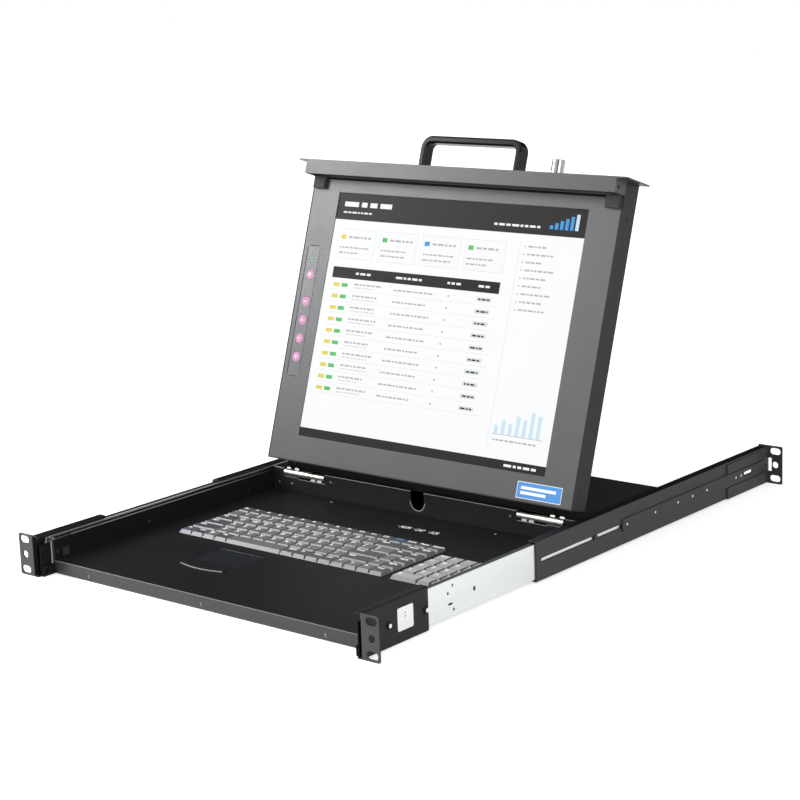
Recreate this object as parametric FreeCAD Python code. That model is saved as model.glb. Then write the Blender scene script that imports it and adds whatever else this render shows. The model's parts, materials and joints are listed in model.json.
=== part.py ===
import FreeCAD, Part
import math
import os

# Rackmount LCD console drawer, one rack unit high.  Millimetres.
# Origin: centre of the four front mounting slots, on the front faces of the front ears.
# +X right, +Y towards the back of the rack, +Z up.
# The drawer is modelled pushed home with its lid raised.  Lid pieces are drawn shut, where
# they have to fit inside the rack unit, and are then swung open about the hinge line.
# Right-hand pieces of every pair are drawn and the left-hand ones are their mirror images.

V = FreeCAD.Vector
X_AXIS = V(1, 0, 0)
Y_AXIS = V(0, 1, 0)
Z_AXIS = V(0, 0, 1)

# ---- Rack mounting pattern, one unit of a 19 inch rack -------------------------------
EAR_HALF_WIDTH = 482.6 / 2       # sets every width below
SLOT_INSET = 8.75                # slot centres from the edge of the ear
HOLE_HALF_SPAN = EAR_HALF_WIDTH - SLOT_INSET
HOLE_HALF_RISE = 31.75 / 2       # slot centres from the middle of the unit
UNIT_HALF_HEIGHT = 21.8
SLOT_WIDTH = 7.7
SLOT_LENGTH = 13.5
EAR_CORNER = 2.0

# ---- Front brackets ------------------------------------------------------------------
BRACKET_SHEET = 1.5
EAR_REACH = 19.3                 # ear edge from the outer face of the bracket web
BRACKET_FACE = EAR_HALF_WIDTH - EAR_REACH
BRACKET_LENGTH = 93.0
BRACKET_FLANGE = 10.0
BRACKET_LIP = 3.2
BRACKET_FOOT = 7.0               # bottom flange, short enough for the drawer guard
BRACKET_BEND = 2.0
SCREW_STATIONS = (36.0, 89.0)    # bracket screws along the rail
SCREW_RADIUS = 2.0
SCREW_HEAD_RADIUS = 3.4
SCREW_HEAD_HEIGHT = 2.2
HEAD_TAPER = 0.6                 # top of a screw head as a share of its foot

# ---- Label on the right front bracket ------------------------------------------------
LABEL_START = 48.6
LABEL_LENGTH = 22.4
LABEL_BOTTOM = -10.0
LABEL_HEIGHT = 22.0
LABEL_CORNER = 1.6
LABEL_THICKNESS = 0.15

# ---- Ball-bearing slides, section sizes ----------------------------------------------
SLIDE_SHEET = 1.2
SLIDE_FRONT = 17.4
OUTER_FACE = BRACKET_FACE - BRACKET_SHEET
OUTER_HALF_HEIGHT = 18.4
OUTER_REACH = 6.6                # flange width inwards
OUTER_LIP = 2.5
OUTER_LENGTH = 550.0
RAIL_HOLES = ((131.3, 12.1, 1.5), (132.5, -11.8, 1.5), (124.1, 5.7, 1.5), (164.3, 0.0, 2.2))
RAIL_NICK_STATION = 127.6
RAIL_NICK_HEIGHT = -5.4
RAIL_NICK_LENGTH = 7.0
RAIL_NICK_WIDTH = 2.0
RAIL_GAP = 0.6                   # outer web to middle web
MIDDLE_FACE = OUTER_FACE - SLIDE_SHEET - RAIL_GAP
MIDDLE_HALF_HEIGHT = 14.1
MIDDLE_REACH = 5.3
MIDDLE_LIP = 2.4
MIDDLE_START = 24.0
MIDDLE_LENGTH = 520.0
INNER_HALF_HEIGHT = 10.3
INNER_REACH = 5.1
INNER_GAP = 0.9                  # middle web to the edge of the inner rail
INNER_LENGTH = 480.0
INNER_HOOK_START = 10.0
INNER_HOOK_END = 44.0
INNER_HOOK_TOP = 14.2

# ---- Ball cages ----------------------------------------------------------------------
OUTER_BALL_RADIUS = 1.25
OUTER_BALL_LINE = OUTER_FACE - OUTER_REACH / 2
OUTER_CAGE_START = 120.0
OUTER_CAGE_LENGTH = 200.0
OUTER_CAGE_GAP = 0.15            # outer web to cage web
OUTER_CAGE_FACE = OUTER_FACE - SLIDE_SHEET - OUTER_CAGE_GAP
INNER_BALL_RADIUS = 1.0
INNER_BALL_INSET = 2.8
INNER_BALL_LINE = MIDDLE_FACE - INNER_BALL_INSET
INNER_CAGE_START = 200.0
INNER_CAGE_LENGTH = 180.0
INNER_CAGE_GAP = 0.3             # middle web to cage web
INNER_CAGE_FACE = MIDDLE_FACE - SLIDE_SHEET - INNER_CAGE_GAP
CAGE_STRIP = 0.8                 # strip that the balls sit in
CAGE_WEB = 0.3
BALLS_PER_ROW = 4

# ---- Depth-adjustable rear brackets --------------------------------------------------
SLEEVE_START = 262.0
SLEEVE_END = 706.0
SLEEVE_HALF_HEIGHT = 20.8
SLEEVE_FLANGE = 10.0
SLEEVE_SLOT_START = 270.0
SLEEVE_SLOT_END = 676.0
SLEEVE_SLOT_WIDTH = 4.2
REAR_EAR_FACE = 708.5            # front face of the rear ears
REAR_EAR_TUCK = 11.0             # ear edge inside the sleeve face
REAR_SHEET = 1.5
REAR_FLANGE_SHEET = 1.2
PRONG_START = 620.0
PRONG_GAP = 16.0                 # window between the two prongs
PRONG_TOP = 18.4
PRONG_ROOT = 697.0
REAR_SLOT_OFFSET = 3.6           # middle of the upright slot from the sleeve face
REAR_SLOT_WIDTH = 4.6
REAR_SLOT_HEIGHT = 15.5
ROOT_SLOT_HEIGHT = 6.0
ROOT_SLOT_WIDTH = 3.0
WELD_STATIONS = (632.6, 664.6)
WELD_HEIGHT = 12.8
WELD_RADIUS = 1.7
WELD_PROUD = 0.25
STRIP_START = 412.0
STRIP_END = 703.0
STRIP_HALF_HEIGHT = 6.7
STRIP_CORNER = 2.0
STRIP_HOLES = (420.6, 474.1, 518.4, 547.7, 577.0, 638.4, 649.4)
STRIP_HOLE_RADIUS = 1.9
STRIP_SLOT_START = 655.0
STRIP_SLOT_END = 673.0
STRIP_SLOT_WIDTH = 5.2
GUIDE_PIN_STATION = 364.4
GUIDE_PIN_RADIUS = 1.8
GUIDE_PIN_HEAD = 2.7
GUIDE_PIN_HEAD_HEIGHT = 0.8
GUIDE_PIN_GAP = 0.1

# ---- Drawer tray ---------------------------------------------------------------------
TRAY_SHEET = 1.0
TRAY_HALF_WIDTH = MIDDLE_FACE - SLIDE_SHEET - INNER_GAP - INNER_REACH
TRAY_BOTTOM = -21.4
TRAY_WALL_TOP = 13.5
TRAY_REAR_TOP = 17.0             # tray walls beside the rear housing
LIP_FACE = 19.5                  # front face of the deck lip
DECK_TOP = -7.8
STEP_FACE = 350.0                # front face of the raised rear section
COVER_TOP = 18.0
TRAY_BACK = 504.0
GUARD_FRONT = 3.4
GUARD_BACK = 16.9
GUARD_GAP = 1.5                  # tray wall to the guard leg
GUARD_INSIDE = TRAY_HALF_WIDTH + GUARD_GAP
GUARD_SHEET = 1.2
GUARD_TOP = 11.5
GUARD_TAB_TOP = -11.0
CATCH_Y = 8.2                    # lid catch, ball and hole share this centre
CATCH_Z = -15.9
CATCH_HOLE_RADIUS = 2.5
WALL_SCREWS = (24.0, 153.7, 307.4)
WALL_SCREW_HEIGHT = 0.8
WALL_WINDOW = (31.0, 40.5, -6.0, 3.0)
FIT_GAP = 0.1                    # sheet laid inside a folded wall
STEP_LAP = 3.0                   # deck sheet under the step wall
COVER_SIDE_BOTTOM = 2.0
COVER_FOLD = 8.0
SIDE_GAP = 0.3                   # running gap round pieces that move in a hole

# ---- Keyboard ------------------------------------------------------------------------
PITCH = 17.6
FUNCTION_ROW = 15.6
KEY_GAP = 0.5
KEY_TOP = -4.4
KEY_BOTTOM = -8.2
KEY_FRONT_SLOPE = 3.0
KEY_SIDE_SLOPE = 1.5
KEY_BACK_SLOPE = 0.8
KEYS_LEFT = -175.0
KEYS_FRONT = 161.5
NUMPAD_PITCH = 16.3
NUMPAD_GAP = 10.7                # main keys to the number keys
KEY_WELL_EDGE = 0.7
CHASSIS_TOP = -10.4
CHASSIS_THICKNESS = 1.6
CHASSIS_RIM = 3.0
CHASSIS_FOOT_RADIUS = 4.0
CHASSIS_FOOT_INSET_X = 20.0
CHASSIS_FOOT_INSET_Y = 15.0
# Key widths of each row in units of PITCH, front row first; every row adds up to 16.
MAIN_ROWS = (
    (0.97,) * 4 + (4.36,) + (0.97,) * 8,
    (2,) + (1,) * 10 + (2, 1, 1),
    (1.75,) + (1,) * 10 + (2.25, 1, 1),
    (1.5,) + (1,) * 11 + (1.5, 1, 1),
    (1,) * 12 + (2, 1, 1),
    (16 / 17,) * 17,
)
NUMPAD_ROWS = ((2, 1, 1),) + ((1, 1, 1, 1),) * 4
NUMPAD_LEFT = KEYS_LEFT + sum(MAIN_ROWS[1]) * PITCH + NUMPAD_GAP

# ---- Touchpad and its two buttons ----------------------------------------------------
PAD_LEFT = -94.8
PAD_FRONT = 102.8
PAD_WIDTH = 60.0
PAD_DEPTH = 41.0
PAD_RECESS = 0.3
PAD_THICKNESS = 2.6
PAD_BOARD_DROP = 0.8             # touch board below the buttons
PAD_BOARD_THICKNESS = 1.5
PAD_PROP_INSET = 2.0
PAD_FOOT_INSET = 20.0
PAD_FOOT_DEPTH = 20.0
BUTTON_ARC_RADIUS = 92.5
BUTTON_ARC_FRONT = 80.0
BUTTON_ARC_WIDTH = 5.5
BUTTON_HALF_WIDTH = 29.6
BUTTON_PROUD = 1.0
BUTTON_DEPTH = 2.6
BUTTON_SPLIT = 0.8

# ---- Indicator lights on the deck ----------------------------------------------------
LAMP_X = (9.6, 30.2, 50.4)
LAMP_Y = 307.0
LAMP_RADIUS = 1.1
LAMP_LENGTH = 3.2
LAMP_PROUD = 0.2

# ---- Hinge line and lid --------------------------------------------------------------
HINGE_Y = 351.44
HINGE_Z = 13.43
LID_ANGLE = 108.41               # from shut to the raised rest position
LID_TOP = UNIT_HALF_HEIGHT
LID_THICKNESS = 24.6
LID_FACE = LID_TOP - LID_THICKNESS
LID_SHEET = 1.0
LID_SIDE_GAP = 0.5               # lid to the inside of the tray wall
LID_HALF_WIDTH = TRAY_HALF_WIDTH - TRAY_SHEET - LID_SIDE_GAP
LID_EDGE = 1.2
BEZEL_SIDE_GAP = 0.5
BEZEL_HALF_WIDTH = LID_HALF_WIDTH - LID_SHEET - BEZEL_SIDE_GAP
BEZEL_GAP = 0.2
LID_END = 338.3
LID_SCREWS = ((36.2, 7.2), (318.1, 5.2))
LID_SCREW_RADIUS = 1.6
LID_SCREW_LENGTH = 3.7
LID_SCREW_SINK = 0.3
CABLE_HOLE_Z = 9.0
CABLE_HOLE_LENGTH = 20.0
CABLE_HOLE_HEIGHT = 9.0
SCREEN_NEAR = 308.5              # screen opening edge nearest the hinge
SCREEN_HEIGHT = 277.7
SCREEN_WIDTH = 339.9
PANEL_EDGE = 4.0
PANEL_RECESS = 0.1
PANEL_THICKNESS = 10.0

# ---- Front panel on the lid ----------------------------------------------------------
PLATE_FACE = -1.8
PLATE_SHEET = 1.5
PLATE_LAP = 0.2                  # front plate past the bracket face
PLATE_HALF_WIDTH = BRACKET_FACE + PLATE_LAP
PLATE_CORNER = 1.0
PANEL_FLANGE_END = 14.6
PANEL_FLANGE_SHEET = 1.2
CATCH_BALL_RADIUS = 2.1
CATCH_BALL_PROUD = 0.45

# ---- Handle, lock knob, rubber bumpers, badge ----------------------------------------
HANDLE_HALF_WIDTH = 68.5
HANDLE_BAR = 8.0
HANDLE_DEPTH = 15.5
HANDLE_REACH = 37.5
HANDLE_Z = 9.0
HANDLE_CORNER = 14.0
HANDLE_EDGE = 1.9
KNOB_X = 114.0
KNOB_RADIUS = 7.0
KNOB_LENGTH = 19.0
KNOB_EDGE = 0.8
KNOB_COLLAR_GAP = 0.2
KNOB_SHAFT = 3.0
KNOB_SHAFT_START = 2.0
KNOB_SHAFT_REACH = 14.0          # plunger past the front plate
COLLAR_RADIUS = 10.0
COLLAR_HEIGHT = 3.2
BUMPER_MARGIN = 1.0              # bumper from the edge of the bezel
BUMPER_WIDTH = 17.0
BUMPER_EDGE = 1.0
BUMPER_INSIDE = BEZEL_HALF_WIDTH - BUMPER_MARGIN - BUMPER_WIDTH
BUMPER_START = 15.0
BUMPER_END = 28.0
BUMPER_GAP = 0.3                 # above the deck when the lid is shut
BADGE_MARGIN = 13.5              # badge from the edge of the bezel
BADGE_WIDTH = 56.5
BADGE_LEFT = BEZEL_HALF_WIDTH - BADGE_MARGIN - BADGE_WIDTH
BADGE_START = 316.8
BADGE_DEPTH = 17.4
BADGE_THICKNESS = 0.3

# ---- On-screen-display keys on the bezel ---------------------------------------------
OSD_MARGIN = 5.5                 # control strip from the edge of the bezel
OSD_LEFT = OSD_MARGIN - BEZEL_HALF_WIDTH
OSD_WIDTH = 18.4
OSD_START = 93.5
OSD_END = 243.5
OSD_CORNER = 4.0
OSD_RECESS = 0.2
OSD_SHEET = 0.8
OSD_KEY_OFFSET = 9.7             # key centres from the edge of the strip
OSD_KEY_X = OSD_LEFT + OSD_KEY_OFFSET
OSD_KEY_STATIONS = (126.6, 157.7, 178.8, 200.0, 221.0)
OSD_KEY_RADIUS = 5.3
OSD_KEY_FLANGE = 6.4
OSD_KEY_PROUD = 0.6
OSD_KEY_EDGE = 0.4
OSD_KEY_TAIL = 1.2
OSD_FLANGE_GAP = 0.05
OSD_FLANGE_SHEET = 0.8
OSD_CLEARANCE = 0.3
LED_STATION = 111.1
LED_RADIUS = 1.4
LED_LENGTH = 3.0
LED_PROUD = 0.1

# ---- Lid hinges ----------------------------------------------------------------------
KNUCKLE_RADIUS = 3.2
BARREL_RADIUS = 4.0              # friction barrel
HINGE_MARGIN = 17.0              # hinge from the edge of the lid
HINGE_LENGTH = 59.0
HINGE_OUTSIDE = LID_HALF_WIDTH - HINGE_MARGIN
HINGE_INSIDE = HINGE_OUTSIDE - HINGE_LENGTH
KNUCKLE_LENGTH = 22.0
KNUCKLE_SPLIT = HINGE_INSIDE + KNUCKLE_LENGTH
KNUCKLE_GAP = 0.3
PIN_RADIUS = 1.5
PIN_CLEARANCE = 0.08
HINGE_SHEET = 1.5
HINGE_ARM_WIDTH = 5.5
HINGE_ARMS = (HINGE_OUTSIDE - 18.5, HINGE_OUTSIDE - 6.5)
HINGE_ARM_ROOT = 0.5
HINGE_SLOT_GAP = 0.4             # lid wall round an arm
LEAF_INSIDE = HINGE_OUTSIDE - 43.0
LEAF_OUTSIDE = HINGE_OUTSIDE + 3.0
LEAF_BOTTOM = 4.0
BASE_LAP = 16.0                  # fixed leaf past the inner end of the hinge
BASE_BOTTOM = -4.0
BASE_TOP = 16.0
BASE_GAP = 0.4                   # fixed leaf below the recess
RECESS_DEEP = 7.8                # floor of the deep part of the hinge recess
RECESS_SHALLOW = 9.1
RECESS_SPLIT = HINGE_OUTSIDE - 21.0
RECESS_GAP_INSIDE = 0.6
RECESS_GAP_OUTSIDE = 1.2
RECESS_BACK = 357.5
NOTCH_HALF_WIDTH = 9.2
NOTCH_DEPTH = 6.5
NOTCH_BOTTOM = -2.5

# ---- Small screws and rear sockets ---------------------------------------------------
SMALL_SCREW_RADIUS = 2.2
SMALL_SCREW_HEIGHT = 0.8
STEP_SCREWS = ((HINGE_INSIDE - 9.4, 9.9), (TRAY_HALF_WIDTH - 28.0, 0.0), (TRAY_HALF_WIDTH - 8.0, 0.0))
DECK_SCREW_X = 114.0
DECK_SCREW_Y = 339.0
LIP_SCREWS = (-160.0, 0.0, 160.0)
LIP_SCREW_Z = -17.0
BOARD_LEFT = -120.0
BOARD_WIDTH = 240.0
BOARD_START = 375.0
BOARD_DEPTH = 100.0
BOARD_Z = -14.0
BOARD_THICKNESS = 1.6
BOARD_POST_RADIUS = 3.0
BOARD_POST_INSET = 8.0
# Chips on the board: distance from its left and front edges, width, depth, height.
BOARD_CHIPS = ((50.0, 25.0, 28.0, 28.0, 3.0), (110.0, 30.0, 20.0, 20.0, 2.0), (160.0, 20.0, 24.0, 24.0, 3.0))
SUPPLY_MARGIN = 11.5             # power supply from the tray wall
SUPPLY_WIDTH = 72.0
SUPPLY_START = 385.0
SUPPLY_DEPTH = 85.0
SUPPLY_TOP = 10.0
DRIVER_LEFT = -90.0
DRIVER_WIDTH = 150.0
DRIVER_START = 120.0
DRIVER_DEPTH = 110.0
DRIVER_GAP = 4.4                 # driver board to the lid's back wall
DRIVER_CHIP_HEIGHT = 2.4
DRIVER_CHIPS = ((40.0, 30.0, 30.0, 30.0), (100.0, 40.0, 20.0, 20.0))
DRIVER_POST_INSET = 6.0
CONTROL_BOARD_INSET = 4.0
CONTROL_BOARD_Z = 1.6
CONTROL_POST_STATIONS = (102.0, 228.0)
CONTROL_POST_WIDTH = 6.0
INLET_X = -150.0
INLET_WIDTH = 27.2
INLET_HEIGHT = 20.0
VIDEO_X = -40.0
VIDEO_WIDTH = 25.0
VIDEO_HEIGHT = 8.4
USB_X = 20.0
USB_WIDTH = 12.0
USB_HEIGHT = 10.9
SOCKET_Z = -4.0
SOCKET_WALL = 1.6
INLET_RIM = 2.0
INLET_DEPTH = 14.0
INLET_FLOOR = 2.0
PIN_BLOCK = (16.0, 6.0)          # contact block of the mains inlet, width and height
VIDEO_DEPTH = 8.0
VIDEO_PROUD = 4.0
VIDEO_NUT_OFFSET = 16.9
VIDEO_NUT_RADIUS = 2.6
VIDEO_NUT_HEIGHT = 3.0
USB_DEPTH = 12.0
USB_PROUD = 0.6
USB_TONGUE = (5.6, 3.2)


# ---- Helpers -------------------------------------------------------------------------
def block(x0, x1, y0, y1, z0, z1):
    """Box between two opposite corners."""
    return Part.makeBox(x1 - x0, y1 - y0, z1 - z0, V(x0, y0, z0))


def rod(start, direction, radius, length):
    """Round bar from a start point."""
    return Part.makeCylinder(radius, length, start, direction)


def screw_head(base, direction, radius, height):
    """Low tapered screw head standing on a base point."""
    return Part.makeCone(radius, radius * HEAD_TAPER, height, base, direction)


def steel_ball(radius, centre):
    """Bearing ball with flat faces, where three eight-sided bars cross."""
    bars = []
    for axis, side in ((X_AXIS, Y_AXIS), (Y_AXIS, Z_AXIS), (Z_AXIS, X_AXIS)):
        corner = side * (radius / math.cos(math.pi / 8))
        points = []
        for step in range(9):
            turn = FreeCAD.Rotation(axis, 22.5 + 45 * step)
            points.append(centre - axis * radius + turn.multVec(corner))
        bars.append(Part.Face(Part.makePolygon(points)).extrude(axis * (2 * radius)))
    return bars[0].common(bars[1]).common(bars[2])


def extrude_y(points, y0, y1):
    """Prism along Y from a closed outline of (x, z) points."""
    wire = Part.makePolygon([V(x, y0, z) for x, z in points + points[:1]])
    return Part.Face(wire).extrude(V(0, y1 - y0, 0))


def slot(centre, along, across, through, length, width, depth):
    """Slot with round ends, cut from a centre point both ways by depth."""
    half = (length - width) / 2
    ends = [centre + along * half, centre - along * half]
    tool = [rod(end - through * depth, through, width / 2, 2 * depth) for end in ends]
    corner = centre - along * half - across * (width / 2) - through * depth
    outline = [corner, corner + along * (2 * half), corner + along * (2 * half) + across * width,
               corner + across * width, corner]
    bar = Part.Face(Part.makePolygon(outline)).extrude(through * (2 * depth))
    return bar.multiFuse(tool).removeSplitter()


def soften(shape, radius, axis, spots):
    """Round the straight edges along an axis that pass through the given spots."""
    chosen = []
    for edge in shape.Edges:
        size = edge.BoundBox
        middle = size.Center
        run = {"x": size.XLength, "y": size.YLength, "z": size.ZLength}[axis]
        here = {"x": (middle.y, middle.z), "y": (middle.x, middle.z), "z": (middle.x, middle.y)}[axis]
        if run < 0.8 or size.DiagonalLength > run + 0.01:
            continue
        for spot in spots:
            if math.hypot(here[0] - spot[0], here[1] - spot[1]) < 0.02:
                chosen.append(edge)
    return shape.makeFillet(radius, chosen)


def opened(shape):
    """Swing a piece of the shut lid up to its rest angle."""
    swung = shape.copy()
    swung.rotate(V(0, HINGE_Y, HINGE_Z), X_AXIS, -LID_ANGLE)
    return swung


def mirrored(shape):
    """Left-hand copy of a right-hand piece."""
    return shape.mirror(V(0, 0, 0), X_AXIS)


def write(node, shape):
    """Export one sub-part."""
    shape.exportStep("parts/" + node + ".step")


def write_pair(node, shape):
    """Export a right-hand piece and its mirror image."""
    write(node + "_right", shape)
    write(node + "_left", mirrored(shape))


# ---- Fixed to the rack ---------------------------------------------------------------
def ear_holes(y):
    """Slots and middle hole of one rack ear, as cutting tools."""
    tools = []
    for side in (-1, 1):
        centre = V(HOLE_HALF_SPAN, y, side * HOLE_HALF_RISE)
        tools.append(slot(centre, X_AXIS, Z_AXIS, Y_AXIS, SLOT_LENGTH, SLOT_WIDTH, 3))
    tools.append(rod(V(HOLE_HALF_SPAN, y - 3, 0), Y_AXIS, SLOT_WIDTH / 2, 6))
    return tools


def front_bracket():
    """Folded C-channel with the rack ear at its front end."""
    inside = BRACKET_FACE - BRACKET_FLANGE
    top = UNIT_HALF_HEIGHT
    web = OUTER_FACE
    outline = [(BRACKET_FACE, -top), (BRACKET_FACE, top), (inside, top), (inside, top - BRACKET_LIP),
               (inside + BRACKET_SHEET, top - BRACKET_LIP), (inside + BRACKET_SHEET, top - BRACKET_SHEET),
               (web, top - BRACKET_SHEET), (web, -top + BRACKET_SHEET),
               (BRACKET_FACE - BRACKET_FOOT, -top + BRACKET_SHEET), (BRACKET_FACE - BRACKET_FOOT, -top)]
    channel = extrude_y(outline, 0, BRACKET_LENGTH)
    channel = soften(channel, BRACKET_BEND, "y", [(BRACKET_FACE, top), (BRACKET_FACE, -top)])
    channel = soften(channel, BRACKET_SHEET * 0.9, "y", [(inside, top)])
    ear = block(OUTER_FACE, EAR_HALF_WIDTH, 0, BRACKET_SHEET, -top, top)
    ear = soften(ear, EAR_CORNER, "y", [(EAR_HALF_WIDTH, top), (EAR_HALF_WIDTH, -top)])
    bracket = channel.fuse(ear).removeSplitter()
    holes = ear_holes(0)
    for station in SCREW_STATIONS:
        holes.append(rod(V(web - 1, station, 0), X_AXIS, SCREW_RADIUS, 4))
    return bracket.cut(Part.makeCompound(holes))


def slide_outer():
    """Outer rail of the ball-bearing slide, with its stamped holes."""
    face = OUTER_FACE
    top = OUTER_HALF_HEIGHT
    web = face - SLIDE_SHEET
    reach = face - OUTER_REACH
    outline = [(face, -top), (face, top), (reach, top), (reach, top - OUTER_LIP),
               (reach + SLIDE_SHEET, top - OUTER_LIP), (reach + SLIDE_SHEET, top - SLIDE_SHEET),
               (web, top - SLIDE_SHEET), (web, -top + SLIDE_SHEET),
               (reach + SLIDE_SHEET, -top + SLIDE_SHEET), (reach + SLIDE_SHEET, -top + OUTER_LIP),
               (reach, -top + OUTER_LIP), (reach, -top)]
    rail = extrude_y(outline, SLIDE_FRONT, SLIDE_FRONT + OUTER_LENGTH)
    corners = [(face, top), (face, -top), (reach, top), (reach, -top)]
    rail = soften(rail, SLIDE_SHEET * 0.9, "y", corners)
    tools = [rod(V(web - 1, station, 0), X_AXIS, SCREW_RADIUS, 4) for station in SCREW_STATIONS]
    tools.append(rod(V(web - 1, GUIDE_PIN_STATION, 0), X_AXIS, GUIDE_PIN_RADIUS, 4))
    for station, height, radius in RAIL_HOLES:
        tools.append(rod(V(web - 1, station, height), X_AXIS, radius, 4))
    nick = V(face, RAIL_NICK_STATION, RAIL_NICK_HEIGHT)
    tools.append(slot(nick, Y_AXIS, Z_AXIS, X_AXIS, RAIL_NICK_LENGTH, RAIL_NICK_WIDTH, 3))
    return rail.cut(Part.makeCompound(tools))


def rail_screws():
    """Bracket screws and the rear bracket guide pins, both sides."""
    pieces = []
    web = OUTER_FACE - SLIDE_SHEET
    for station in SCREW_STATIONS:
        shank = rod(V(web, station, 0), X_AXIS, SCREW_RADIUS, BRACKET_FACE - web)
        head = screw_head(V(BRACKET_FACE, station, 0), X_AXIS, SCREW_HEAD_RADIUS, SCREW_HEAD_HEIGHT)
        pieces.append(shank.fuse(head))
    seat = BRACKET_FACE + GUIDE_PIN_GAP
    pin = rod(V(web, GUIDE_PIN_STATION, 0), X_AXIS, GUIDE_PIN_RADIUS, seat - web)
    head = rod(V(seat, GUIDE_PIN_STATION, 0), X_AXIS, GUIDE_PIN_HEAD, GUIDE_PIN_HEAD_HEIGHT)
    pieces.append(pin.fuse(head))
    return Part.makeCompound(pieces + [mirrored(piece) for piece in pieces])


def data_label():
    """White label on the outside of the right front bracket."""
    end = LABEL_START + LABEL_LENGTH
    top = LABEL_BOTTOM + LABEL_HEIGHT
    label = block(BRACKET_FACE, BRACKET_FACE + LABEL_THICKNESS, LABEL_START, end, LABEL_BOTTOM, top)
    corners = [edge for edge in label.Edges if edge.BoundBox.XLength > LABEL_THICKNESS / 2]
    return label.makeFillet(LABEL_CORNER, corners)


# ---- Depth-adjustable rear brackets --------------------------------------------------
def rear_sleeve():
    """C-channel that runs over the outer rail, slotted for the guide pin."""
    face = BRACKET_FACE
    top = SLEEVE_HALF_HEIGHT
    inside = face - SLEEVE_FLANGE
    under = top - REAR_FLANGE_SHEET
    outline = [(face, -top), (face, top), (inside, top), (inside, under), (OUTER_FACE, under),
               (OUTER_FACE, -under), (inside, -under), (inside, -top)]
    sleeve = extrude_y(outline, SLEEVE_START, SLEEVE_END)
    sleeve = soften(sleeve, REAR_FLANGE_SHEET, "y", [(face, top), (face, -top)])
    length = SLEEVE_SLOT_END - SLEEVE_SLOT_START
    centre = V(face, SLEEVE_SLOT_START + length / 2, 0)
    return sleeve.cut(slot(centre, Y_AXIS, Z_AXIS, X_AXIS, length, SLEEVE_SLOT_WIDTH, 3))


def rear_ear():
    """Rear rack ear with two flat prongs spot-welded to the sleeve."""
    face = BRACKET_FACE + REAR_SHEET
    top = SLEEVE_HALF_HEIGHT + REAR_FLANGE_SHEET
    back = REAR_EAR_FACE
    body = block(BRACKET_FACE, face, PRONG_START, back, -SLEEVE_HALF_HEIGHT, PRONG_TOP)
    window = block(BRACKET_FACE - 1, face + 1, PRONG_START - 1, PRONG_ROOT, -PRONG_GAP / 2, PRONG_GAP / 2)
    body = body.cut(window)
    ear = block(BRACKET_FACE - REAR_EAR_TUCK, EAR_HALF_WIDTH, back, back + REAR_SHEET, -top, top)
    ear = soften(ear, EAR_CORNER, "y", [(EAR_HALF_WIDTH, top), (EAR_HALF_WIDTH, -top)])
    welds = []
    for station in WELD_STATIONS:
        for side in (-1, 1):
            welds.append(rod(V(face, station, side * WELD_HEIGHT), X_AXIS, WELD_RADIUS, WELD_PROUD))
    tools = ear_holes(back)
    middle = BRACKET_FACE + REAR_SLOT_OFFSET
    tools.append(block(middle - REAR_SLOT_WIDTH / 2, middle + REAR_SLOT_WIDTH / 2,
                       back - 0.1, back + 2, -REAR_SLOT_HEIGHT / 2, REAR_SLOT_HEIGHT / 2))
    root = V(face, (PRONG_ROOT + back) / 2, 0)
    tools.append(slot(root, Z_AXIS, Y_AXIS, X_AXIS, ROOT_SLOT_HEIGHT, ROOT_SLOT_WIDTH, 3))
    return body.multiFuse([ear] + welds).removeSplitter().cut(Part.makeCompound(tools))


def adjust_strip():
    """Flat bar along the sleeve with the depth-setting holes."""
    face = BRACKET_FACE + REAR_SHEET
    half = STRIP_HALF_HEIGHT
    end = min(STRIP_END, PRONG_ROOT)
    bar = block(BRACKET_FACE, face, STRIP_START, end, -half, half)
    bar = soften(bar, STRIP_CORNER, "x", [(STRIP_START, half), (STRIP_START, -half)])
    tools = [rod(V(BRACKET_FACE - 1, y, 0), X_AXIS, STRIP_HOLE_RADIUS, 4) for y in STRIP_HOLES]
    length = STRIP_SLOT_END - STRIP_SLOT_START
    centre = V(face, STRIP_SLOT_START + length / 2, 0)
    tools.append(slot(centre, Y_AXIS, Z_AXIS, X_AXIS, length, STRIP_SLOT_WIDTH, 3))
    return bar.cut(Part.makeCompound(tools))


# ---- Moving slide members ------------------------------------------------------------
def slide_middle():
    """Middle rail that carries a ball track on both sides."""
    face = MIDDLE_FACE
    top = MIDDLE_HALF_HEIGHT
    web = face - SLIDE_SHEET
    reach = face - MIDDLE_REACH
    outline = [(face, -top), (face, top), (reach, top), (reach, top - MIDDLE_LIP),
               (reach + SLIDE_SHEET, top - MIDDLE_LIP), (reach + SLIDE_SHEET, top - SLIDE_SHEET),
               (web, top - SLIDE_SHEET), (web, -top + SLIDE_SHEET),
               (reach + SLIDE_SHEET, -top + SLIDE_SHEET), (reach + SLIDE_SHEET, -top + MIDDLE_LIP),
               (reach, -top + MIDDLE_LIP), (reach, -top)]
    rail = extrude_y(outline, MIDDLE_START, MIDDLE_START + MIDDLE_LENGTH)
    return soften(rail, SLIDE_SHEET * 0.9, "y", [(face, top), (face, -top), (reach, top), (reach, -top)])


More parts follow.
